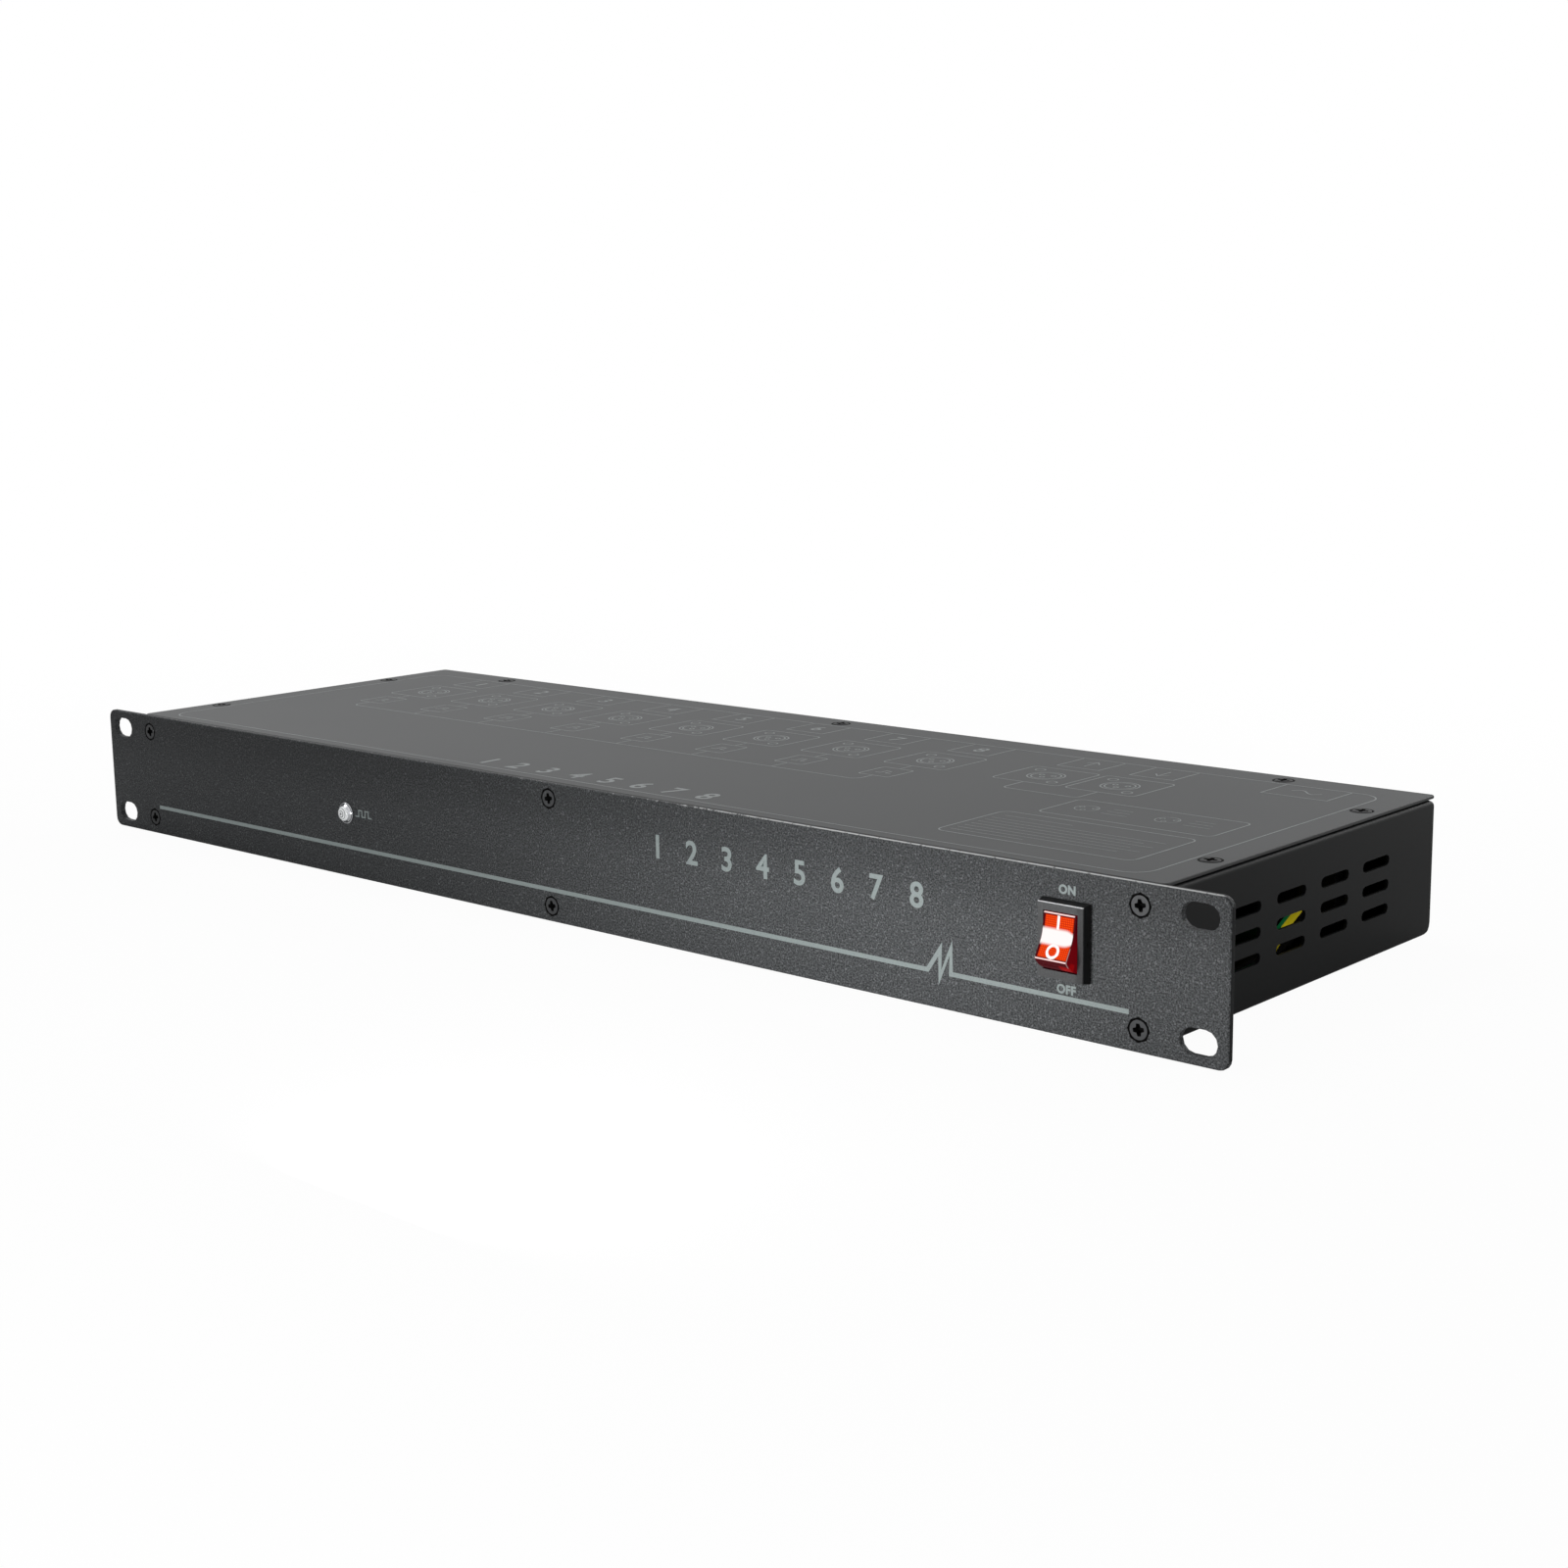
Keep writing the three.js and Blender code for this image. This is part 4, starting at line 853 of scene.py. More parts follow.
class Form:
    """A mesh in the making. Flat work lies in its XY plane, and Z points out of the case."""

    def __init__(self) -> None:
        """Starts empty."""
        self.mesh = bmesh.new()

    def loop(self, outline: Outline, height: float) -> list[Edge]:
        """Draws a closed outline at a height and gives its edges."""
        corners = [self.mesh.verts.new((p.x, p.y, height)) for p in outline]
        return [self.mesh.edges.new((a, b)) for a, b in zip(corners, corners[1:] + corners[:1])]

    def fill(self, *loops: list[Edge]) -> list[Face]:
        """Fills between an outline and the holes in it.

        Args:
            loops: The edges of the outline and of each hole.

        Returns:
            The new faces.
        """
        edges = [edge for loop in loops for edge in loop]
        made = bmesh.ops.triangle_fill(self.mesh, use_beauty=True, use_dissolve=False, edges=edges)
        return [g for g in made["geom"] if isinstance(g, Face)]

    def bridge(self, first: list[Edge], second: list[Edge]) -> list[Face]:
        """Joins two closed outlines by a wall, and gives its faces."""
        return bmesh.ops.bridge_loops(self.mesh, edges=[*first, *second])["faces"]

    def set_shaded(self, faces: Sequence[Face]) -> None:
        """Gives some faces the piece's inner finish, the painted shade of its recesses and gaps."""
        for face in faces:
            face.material_index = 1

    def plate(self, low: float, high: float, outer: Outline, *holes: Outline) -> None:
        """Makes a plate with holes.

        Args:
            low: The height of its underside.
            high: The height of its upper side.
            outer: Its outline.
            holes: The outlines of its holes.
        """
        lower = [self.loop(o, low) for o in (outer, *holes)]
        upper = [self.loop(o, high) for o in (outer, *holes)]
        self.fill(*lower)
        self.fill(*upper)
        for first, second in zip(lower, upper):
            self.bridge(first, second)

    def lathe(self, profile: Profile, steps: int, centre: Point = (0.0, 0.0)) -> None:
        """Turns an open profile, whose ends lie on the axis, once round.

        Args:
            profile: Points of radius and height.
            steps: How many steps the turn has.
            centre: Where the axis stands.
        """
        corners = [self.mesh.verts.new((r, 0.0, z)) for r, z in profile]
        edges = [self.mesh.edges.new(pair) for pair in zip(corners, corners[1:])]
        made = self._spin([*corners, *edges], 2 * math.pi, steps, merge=True)
        bmesh.ops.translate(self.mesh, verts=made, vec=(*centre, 0.0))

    def sweep(self, profile: Profile, start: float, end: float, steps: int) -> None:
        """Sweeps a closed profile part of the way round.

        Args:
            profile: Points of radius and height.
            start: The angle where it starts, in radians.
            end: The angle where it ends.
            steps: How many steps it has.
        """
        face = self.mesh.faces.new([self.mesh.verts.new((r, 0.0, z)) for r, z in profile])
        made = self._spin([face, *face.edges, *face.verts], end - start, steps, merge=False)
        turn = Matrix.Rotation(start, 3, "Z")
        bmesh.ops.rotate(self.mesh, verts=made, cent=(0, 0, 0), matrix=turn)

    def _spin(
        self, geometry: list[object], angle: float, steps: int, merge: bool
    ) -> list[bmesh.types.BMVert]:
        """Spins a profile about the Z axis and merges the points that meet.

        Args:
            geometry: The profile's points, edges and faces.
            angle: How far it is spun, in radians.
            steps: How many steps it has.
            merge: Whether its end runs on into its start.

        Returns:
            The points of the profile and of what the spin made.
        """
        own = set(geometry)
        others = {v for v in self.mesh.verts if v not in own}
        bmesh.ops.spin(
            self.mesh,
            geom=geometry,
            cent=(0, 0, 0),
            axis=(0, 0, 1),
            angle=angle,
            steps=steps,
            use_merge=merge,
        )
        made = [v for v in self.mesh.verts if v not in others]
        bmesh.ops.remove_doubles(self.mesh, verts=made, dist=TINY)
        return [v for v in self.mesh.verts if v not in others]

    def round_edges(self, width: float, segments: int = 2, sharper_than: float = 30.0) -> None:
        """Rounds every edge that turns by more than an angle.

        Args:
            width: How wide the rounding is.
            segments: How many facets it has.
            sharper_than: The least angle of an edge that is rounded, in degrees.
        """
        limit = math.radians(sharper_than)
        edges = [e for e in self.mesh.edges if e.is_manifold and e.calc_face_angle() > limit]
        bmesh.ops.bevel(
            self.mesh,
            geom=edges,
            offset=width,
            offset_type="OFFSET",
            affect="EDGES",
            segments=segments,
            profile=0.5,
            material=-1,
            clamp_overlap=True,
        )

    @classmethod
    def turned(cls, profile: Profile, steps: int) -> Form:
        """Makes a closed form by turning a profile once round.

        Args:
            profile: Points of radius and height.
            steps: How many steps the turn has.

        Returns:
            The form.
        """
        made = cls()
        made.lathe(profile, steps)
        made.close()
        return made

    def close(self) -> None:
        """Merges doubled points and turns every face outwards."""
        bmesh.ops.remove_doubles(self.mesh, verts=self.mesh.verts, dist=TINY)
        bmesh.ops.recalc_face_normals(self.mesh, faces=self.mesh.faces)

    def put(self, transform: Matrix) -> Form:
        """Moves the whole form into place and gives it back."""
        bmesh.ops.transform(self.mesh, matrix=transform, verts=self.mesh.verts)
        return self

    def add(self, other: Form, transform: Matrix) -> None:
        """Takes a copy of another form in.

        Args:
            other: The form that is copied.
            transform: Where the copy goes.
        """
        kept = bpy.data.meshes.new("copy")
        other.mesh.to_mesh(kept)
        kept.transform(transform)
        self.mesh.from_mesh(kept)
        bpy.data.meshes.remove(kept)

    def write(
        self, text: str, height: float, x: float, y: float, weight: float, spacing: float = 1.0
    ) -> None:
        """Sets flat lettering of some height and weight, centred on a point."""
        self.add(letters(text, height, weight, spacing), Matrix.Translation((x, y, 0)))


class Pen:
    """Draws flat printed strokes of one width into a form."""

    def __init__(self, form: Form, width: float) -> None:
        """Takes up a pen of some width, to draw in a form."""
        self.form = form
        self.half = width / 2

    def stroke(self, points: Sequence[Point], closed: bool = False) -> None:
        """Draws through points, with mitred corners.

        Args:
            points: The middle line of the stroke.
            closed: Whether the last point runs on to the first.
        """
        mesh = self.form.mesh
        path = [Vector(p) for p in points]
        nibs = []
        for i, point in enumerate(path):
            before = path[i - 1] if closed or i else None
            after = path[(i + 1) % len(path)] if closed or i < len(path) - 1 else None
            nibs.append(self._nib(point, before, after))
        ends = [mesh.verts.new((*p, 0.0)) for p in nibs[0]]
        start = edge = mesh.edges.new(ends)
        for nib in nibs[1:]:
            left = ends[0].co.xy
            made = bmesh.ops.extrude_edge_only(mesh, edges=[edge])["geom"]
            edge = next(g for g in made if isinstance(g, Edge))
            ends = sorted(edge.verts, key=lambda v: (v.co.xy - left).length)
            for corner, place in zip(ends, nib):
                corner.co = (*place, 0.0)
        if closed:
            bmesh.ops.bridge_loops(mesh, edges=[edge, start])

    def ring(self, radius: float, steps: int, middle: Point = (0.0, 0.0)) -> None:
        """Draws a circle."""
        self.stroke(circle(radius, steps, middle), closed=True)

    def frame(self, low: Point, high: Point, radius: float, steps: int = 4) -> None:
        """Draws a box with round corners."""
        self.stroke(rounded_box(low, high, radius, steps), closed=True)

    def _nib(
        self, point: Vector, before: Vector | None, after: Vector | None
    ) -> tuple[Vector, Vector]:
        """Works out the two ends of the nib at a point.

        Args:
            point: The point.
            before: The point before it.
            after: The point after it.

        Returns:
            The ends to the left and to the right.
        """
        into = (point - before).normalized() if before is not None else None
        out = (after - point).normalized() if after is not None else None
        along = ((into or out) + (out or into)).normalized()
        widen = 1 / max(along.dot(into or out), 0.3)
        left = Vector((-along.y, along.x)) * self.half * widen
        return point + left, point - left


def show(name: str, data: bpy.types.ID) -> bpy.types.Object:
    """Puts a mesh, a lamp or the like into the scene.

    Args:
        name: The object's name.
        data: What it shows.

    Returns:
        The object.
    """
    made = bpy.data.objects.new(name, data)
    bpy.context.scene.collection.objects.link(made)
    return made


def raise_ink(form: Form, thickness: float, way: Vector | None = None) -> None:
    """Gives a sheet of faces the thickness of a coat of ink.

    Args:
        form: The sheet.
        thickness: How thick the ink is.
        way: The way that it is thickened. It is upwards if it isn't given.
    """
    made = bmesh.ops.extrude_face_region(form.mesh, geom=list(form.mesh.faces))["geom"]
    corners = [g for g in made if isinstance(g, bmesh.types.BMVert)]
    step = (way or Vector((0, 0, 1))) * thickness
    bmesh.ops.translate(form.mesh, verts=corners, vec=step)
    form.close()


def letters(text: str, height: float, weight: float, spacing: float) -> Form:
    """Makes flat lettering, centred on its origin.

    Args:
        text: The characters.
        height: The height of a capital or a numeral.
        weight: How much the strokes are thickened.
        spacing: The spacing of the characters.

    Returns:
        The flat form.
    """
    capital = 0.729  # height of a capital in the built-in font, at size 1
    curve = bpy.data.curves.new("letters", "FONT")
    curve.body = text
    curve.size = height / capital
    curve.offset = weight
    curve.space_character = spacing
    curve.resolution_u = 4
    holder = show("letters", curve)
    bpy.context.view_layer.update()
    flat = bpy.data.meshes.new_from_object(holder)
    form = Form()
    form.mesh.from_mesh(flat)
    bpy.data.objects.remove(holder)
    bpy.data.meshes.remove(flat)
    xs, ys = zip(*(v.co.xy for v in form.mesh.verts))
    x, y = (min(xs) + max(xs)) / 2, (min(ys) + max(ys)) / 2
    bmesh.ops.translate(form.mesh, verts=form.mesh.verts, vec=(-x, -y, 0))
    return form


# Pieces


@dataclass(frozen=True)
class Maker:
    """Turns forms into pieces that ride on a body."""

    smooth_below: float = 38.0

    def piece(
        self,
        name: str,
        form: Form,
        material: Material,
        slot: str,
        body: str = "case",
        replaces: Sequence[str] = (),
        inner: Material | None = None,
    ) -> bpy.types.Object:
        """Makes a piece.

        Args:
            name: The piece's name.
            form: Its form, in place.
            material: Its finish.
            slot: The record's material slot; it is not used.
            body: The body that it rides on.
            replaces: The nodes that it stands for.
            inner: The finish of its inner faces, if it has any, which is painted shade.

        Returns:
            The piece.
        """
        limit = math.radians(self.smooth_below)
        for face in form.mesh.faces:
            face.smooth = True
        for edge in form.mesh.edges:
            edge.smooth = edge.is_manifold and edge.calc_face_angle() < limit
        mesh = bpy.data.meshes.new(name)
        form.mesh.to_mesh(mesh)
        form.mesh.free()
        mesh.materials.append(material)
        if inner:
            mesh.materials.append(inner)
        made = show(name, mesh)
        weighted = made.modifiers.new("even shading", "WEIGHTED_NORMAL")
        weighted.keep_sharp = True
        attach(made, body)
        if replaces:
            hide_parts(*replaces)
        log.info("%s: %d faces", name, len(mesh.polygons))
        return made

    def refined(
        self,
        node: str,
        material: Material,
        slot: str,
        edge: float,
        segments: int = 2,
        body: str = "case",
        inner: Material | None = None,
        is_shaded: Callable[[Face], bool] | None = None,
    ) -> bpy.types.Object:
        """Makes a finer copy of a node, with its flat faces joined and its edges rounded.

        Args:
            node: The node.
            material: The copy's finish.
            slot: The record's material slot.
            edge: How wide its edges are rounded.
            segments: How many facets the rounding has.
            body: The body that it rides on.
            inner: The finish of its inner faces, if it has any, which is painted shade.
            is_shaded: Tells which faces those are.

        Returns:
            The piece.
        """
        form = Form()
        form.mesh.from_mesh(bpy.data.objects[node].data)
        bmesh.ops.remove_doubles(form.mesh, verts=form.mesh.verts, dist=TINY)
        bmesh.ops.dissolve_limit(
            form.mesh,
            angle_limit=math.radians(0.5),
            verts=form.mesh.verts,
            edges=form.mesh.edges,
        )
        form.round_edges(edge, segments)
        if is_shaded:
            form.set_shaded([face for face in form.mesh.faces if is_shaded(face)])
        return self.piece(f"{node}_fine", form, material, slot, body, [node], inner)


def middle_of(node: str) -> Vector:
    """Gives the middle of a node's box."""
    low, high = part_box(node)
    return (low + high) / 2


def dress(node: str, material: Material) -> None:
    """Gives a node that stays in view its material.

    Args:
        node: The node.
        material: The material.
    """
    data = bpy.data.objects[node].data
    data.materials.clear()
    data.materials.append(material)


@dataclass(frozen=True)
class CrossScrew:
    """A cross-head screw, of which the head shows."""

    head_radius: float = 2.8 * MM
    head_depth: float = 1.3 * MM
    shank_radius: float = 1.3 * MM
    recess_span: float = 3.7 * MM
    recess_width: float = 0.95 * MM
    recess_depth: float = 1.2 * MM
    seat_radius: float = 0.0
    seat_lip: float = 0.0
    dome: float = 0.0
    length: float = 6.0 * MM
    flare: float = 1.5
    taper: float = 0.45
    rim: float = 1.12
    steps: int = 32

    def cross(self, share: float) -> Outline:
        """Gives the outline of the cross, with its corners flared.

        Args:
            share: Its size as a share of the full one.

        Returns:
            The outline.
        """
        half, thin = self.recess_span / 2 * share, self.recess_width / 2 * share
        root = thin * self.flare
        quarter = [(half, -thin), (half, thin), (root, root)]
        turned = []
        for turn in range(4):
            swing = Matrix.Rotation(turn * QUARTER, 2)
            turned += [swing @ Vector(p) for p in quarter]
        return turned

    def form(self) -> Form:
        """Makes the head and the shank, with the head's edge at height zero.

        Returns:
            The form.
        """
        made = Form()
        inner = self.recess_span / 2 * self.rim
        radii = [self.head_radius, (self.head_radius + inner) / 2, inner]
        rings = [made.loop(circle(r, self.steps), self._height(r)) for r in radii]
        for outer, nearer in zip(rings, rings[1:]):
            made.bridge(outer, nearer)
        mouth = made.loop(self.cross(1.0), self._height(inner))
        made.fill(rings[-1], mouth)
        floor = made.loop(self.cross(self.taper), self._height(inner) - self.recess_depth)
        under = made.loop(circle(self.shank_radius, self.steps), -self.head_depth)
        # The recess's walls and floor and the head's underside get painted shade.
        made.set_shaded([*made.bridge(mouth, floor), *made.fill(floor), *made.bridge(rings[0], under)])
        foot = made.loop(circle(self.shank_radius, self.steps), -self.length)
        made.bridge(under, foot)
        made.fill(foot)
        if self.seat_radius:
            self._seat(made)
        made.close()
        return made

    def pair(self, x: float, y: float, height: float, turns: Point) -> Form:
        """Makes two of these screws, one on each side of the origin.

        Args:
            x: How far to the right the first one stands.
            y: How far up it stands.
            height: How high their heads' edges lie.
            turns: How far each cross is turned, in degrees.

        Returns:
            Both screws.
        """
        made = Form()
        for way, turn in zip((1, -1), turns):
            place = Matrix.Translation((way * x, way * y, height))
            made.add(self.form(), place @ Matrix.Rotation(math.radians(turn), 4, "Z"))
        return made

    def _seat(self, form: Form) -> None:
        """Lines the countersink that the head lies in, with a round lip over the sheet's edge: a dark
        sheet of painted shade in the gap round the head.

        Args:
            form: The form that it goes into.
        """
        rise, wall, foot = 0.012 * MM, 0.1 * MM, -1 * MM
        flat = sorted({self.seat_radius, self.seat_radius - self.seat_lip}, reverse=True)
        rings = [(radius, rise) for radius in flat]
        rings += [(self.head_radius, foot + wall), (self.head_radius - wall, foot)]
        loops = [form.loop(circle(radius, self.steps), height) for radius, height in rings]
        faces = [face for pair in zip(loops, loops[1:]) for face in form.bridge(*pair)]
        form.set_shaded([*faces, *form.bridge(loops[-1], loops[0])])

    def _height(self, radius: float) -> float:
        """Gives the head's height at a radius."""
        return self.dome * (1 - (radius / self.head_radius) ** 2)


@dataclass
class Assembly:
    """What every sub-assembly is built with."""

    maker: Maker
    finishes: Finishes


@dataclass
class Case(Assembly):
    """The front panel, the tray and the cover, with the screws that hold them."""

    panel_edge: float = 0.12 * MM
    sheet_edge: float = 0.18 * MM
    countersink: float = 3.2 * MM
    screw_turn: float = 9.0
    panel_screws: int = 6
    cover_screws: int = 7
    cover_screw: CrossScrew = CrossScrew(
        dome=0.39 * MM, seat_radius=3.45 * MM, seat_lip=0.4 * MM, steps=48
    )
    panel_screw: CrossScrew = CrossScrew(
        head_radius=2.62 * MM, recess_span=3.3 * MM, seat_radius=3.32 * MM, length=8 * MM, steps=48
    )

    def build(self) -> None:
        """Makes the pieces of the case."""
        make, finish = self.maker, self.finishes
        panel_screws = [f"panel_screw_{i}" for i in range(1, self.panel_screws + 1)]
        cover_screws = [f"cover_screw_{i}" for i in range(1, self.cover_screws + 1)]
        make.refined(
            "front_panel", finish.panel, "panel_coat", self.panel_edge,
            inner=finish.recess, is_shaded=self._in_countersink(panel_screws, Side.FRONT),
        )
        make.refined("chassis_tray", finish.tray, "tray_paint", self.sheet_edge)
        make.refined(
            "top_cover", finish.cover, "cover_paint", self.panel_edge,
            inner=finish.recess, is_shaded=self._in_countersink(cover_screws, Side.TOP),
        )
        for node in panel_screws:
            self._screw(node, self.panel_screw, Side.FRONT, finish.screw_face)
        for node in cover_screws:
            self._screw(node, self.cover_screw, Side.TOP, finish.screw)

    def _in_countersink(self, screws: Sequence[str], side: Side) -> Callable[[Face], bool]:
        """Makes the test for a face that lies in the countersink of a screw, which gets painted shade.

        Args:
            screws: The screws' nodes.
            side: The side that they face.

        Returns:
            The test.
        """
        out, level = Vector(side.value[2]), 0.98
        axes = [middle_of(node) for node in screws]

        def test(face: Face) -> bool:
            """Tells whether a face turns away from the side and lies near a screw's axis.

            Args:
                face: The face.

            Returns:
                Whether it does.
            """
            if face.normal.dot(out) > level:
                return False
            offsets = [face.calc_center_median() - axis for axis in axes]
            return any((o - out * o.dot(out)).length < self.countersink for o in offsets)

        return test

    def _screw(self, node: str, screw: CrossScrew, side: Side, material: Material) -> None:
        """Puts a screw in the place of its node.

        Args:
            node: The node.
            screw: The screw.
            side: The side that it faces.
            material: Its finish.
        """
        centre = middle_of(node)
        if side is Side.FRONT:
            centre.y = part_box(node)[0].y
        else:
            centre.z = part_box("top_cover")[1].z
        turn = Matrix.Rotation(math.radians(self.screw_turn), 4, "Z")
        form = screw.form().put(side.at(centre) @ turn)
        self.maker.piece(
            f"{node}_fine", form, material, "screw_steel", replaces=[node], inner=self.finishes.recess
        )


@dataclass
class RockerSwitch(Assembly):
    """The mains switch: a black bezel and body, and a lit rocker with its two marks."""

    pivot: Vector
    tilt: float
    bezel_edge: float = 0.25 * MM
    rocker_edge: float = 0.22 * MM
    reach: float = 20 * MM
    stroke: float = 0.78 * MM
    bar_length: float = 3.5 * MM
    bar_middle: float = 3.8 * MM
    ring_radius: float = 1.6 * MM
    ring_middle: float = -3.7 * MM
    mark_offset: float = -0.2 * MM
    ink: float = 0.05 * MM
    proud: float = 0.018 * MM

    def build(self) -> None:
        """Makes the pieces of the switch."""
        make, finish = self.maker, self.finishes
        make.refined("switch_housing", finish.bezel, "black_plastic", self.bezel_edge, 3)
        rocker = make.refined("switch_rocker", finish.lens, "red_lens", self.rocker_edge, 3, "rocker")
        face = BVHTree.FromObject(rocker, bpy.context.evaluated_depsgraph_get())
        self._mark("rocker_on_mark", self.bar_middle, self._bar(), face)
        self._mark("rocker_off_mark", self.ring_middle, self._ring(), face)

    def _bar(self) -> Form:
        """Draws the upright stroke.

        Returns:
            The form.
        """
        form = Form()
        half, steps = self.bar_length / 2, 6
        Pen(form, self.stroke).stroke([(0, half * (2 * i / steps - 1)) for i in range(steps + 1)])
        return form

    def _ring(self) -> Form:
        """Draws the ring.

        Returns:
            The form.
        """
        form = Form()
        Pen(form, self.stroke).ring(self.ring_radius, 48)
        return form

    def _mark(self, name: str, height: float, form: Form, face: BVHTree) -> None:
        """Prints a mark on the rocker, just proud of its hollow face.

        Args:
            name: The piece's name.
            height: How far above the middle of the rocker its centre lies.
            form: The flat mark.
            face: The rocker's surface.
        """
        lean = Matrix.Translation(self.pivot) @ Matrix.Rotation(self.tilt, 4, "X")
        form.put(lean @ Side.FRONT.at(Vector((self.mark_offset, -self.reach, height))))
        inwards = lean.to_3x3() @ Vector((0, 1, 0))
        for corner in form.mesh.verts:
            corner.co = face.ray_cast(corner.co, inwards)[0] - inwards * self.proud
        raise_ink(form, self.ink, inwards)
        self.maker.piece(name, form, self.finishes.mark, "red_lens", body="rocker")


@dataclass
class IndicatorLamp(Assembly):
    """The clear lamp in its chrome bezel."""

    flange_radius: float = 3.58 * MM
    flange_height: float = 0.5 * MM
    waist_radius: float = 3.05 * MM
    rim_radius: float = 2.62 * MM
    rim_height: float = 1.35 * MM
    bore: float = 2.42 * MM
    tube_radius: float = 3.0 * MM
    tube_length: float = 9.0 * MM
    lens_radius: float = 2.38 * MM
    lens_shoulder: float = 1.4 * MM
    lens_height: float = 2.6 * MM
    cup_radius: float = 1.7 * MM
    cup_top: float = -0.3 * MM
    cup_depth: float = 1.6 * MM
    cup_floor: float = 0.9 * MM
    cup_wall: float = 0.15 * MM
    cup_base: float = 0.3 * MM
    chip_radius: float = 0.35 * MM
    chip_height: float = 0.4 * MM
    steps: int = 48

    def build(self) -> None:
        """Makes the pieces of the lamp."""
        make, finish = self.maker, self.finishes
        centre = middle_of("indicator_bezel")
        centre.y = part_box("front_panel")[0].y
        place = Side.FRONT.at(centre)
        bezel = self._bezel().put(place)
        node, inner = "indicator_bezel", finish.recess
        make.piece("bezel_ring", bezel, finish.chrome, "chrome", replaces=[node], inner=inner)
        lens = self._lens().put(place)
        make.piece("lamp_lens", lens, finish.lamp_lens, "clear_lens", replaces=["indicator_lamp"])
        make.piece("lamp_cup", self._cup().put(place), finish.cup, "chrome")
        dress("indicator_nut", finish.zinc)

    def _bezel(self) -> Form:
        """Turns the bezel: a low flange, a waist and a rounded rim close round the lens.

        Returns:
            The form.
        """
        flange, waist, rim = self.flange_radius, self.waist_radius, self.rim_radius
        low, high = self.flange_height, self.rim_height
        edge, foot = 0.12 * MM, 0.03 * MM
        profile = [
            (self.bore, high - edge),
            (self.bore, -self.tube_length),
            (self.tube_radius, -self.tube_length),
            (self.tube_radius, foot),
            (flange - edge, foot),
            (flange, edge),
            (flange, low - edge),
            (flange - edge, low),
            (waist + 2 * edge, low),
            (waist + edge, low - edge),
            (waist, low),
            (rim + edge, high - 3 * edge),
            (rim, high - edge),
            (rim - 0.6 * edge, high),
            (self.bore + 0.3 * edge, high),
            (self.bore, high - edge),
        ]
        form = Form.turned(profile, self.steps)
        # The faces round the waist's groove get painted shade.
        for face in form.mesh.faces:
            middle = face.calc_center_median()
            if waist - 0.5 * edge < middle.xy.length < waist + 2 * edge and middle.z > low - edge:
                face.material_index = 1
        return form

    def _lens(self) -> Form:
        """Turns the lens, whose dome stands out of the bezel.

        Returns:
            The form.
        """
        rise, rings = self.lens_height - self.lens_shoulder, 8
        dome = [
            (self.lens_radius * math.cos(a), self.lens_shoulder + rise * math.sin(a))
            for a in (i * QUARTER / rings for i in range(rings))
        ]
        back = -self.tube_length * 0.6
        profile = [(0.0, back), (self.lens_radius, back), *dome, (0.0, self.lens_height)]
        return Form.turned(profile, self.steps)

    def _cup(self) -> Form:
        """Turns the bright cup with the chip that sits inside the lens.

        Returns:
            The form.
        """
        chip, outer, top = self.chip_radius, self.cup_radius + self.cup_wall, self.cup_top
        floor = top - self.cup_depth
        chip_top, chip_foot = floor + self.chip_height, floor + self.chip_height / 4
        back = floor - self.cup_base
        profile = [
            (0.0, chip_top),
            (chip, chip_top),
            (chip, chip_foot),
            (self.cup_floor, floor),
            (self.cup_radius, top),
            (outer, top),
            (outer, back),
            (0.0, back),
        ]
        return Form.turned(profile, self.steps)


class Gender(Enum):
    """The two kinds of panel connector, each with the radius of its opening."""

    FEMALE = 9.75 * MM
    MALE = 8.25 * MM


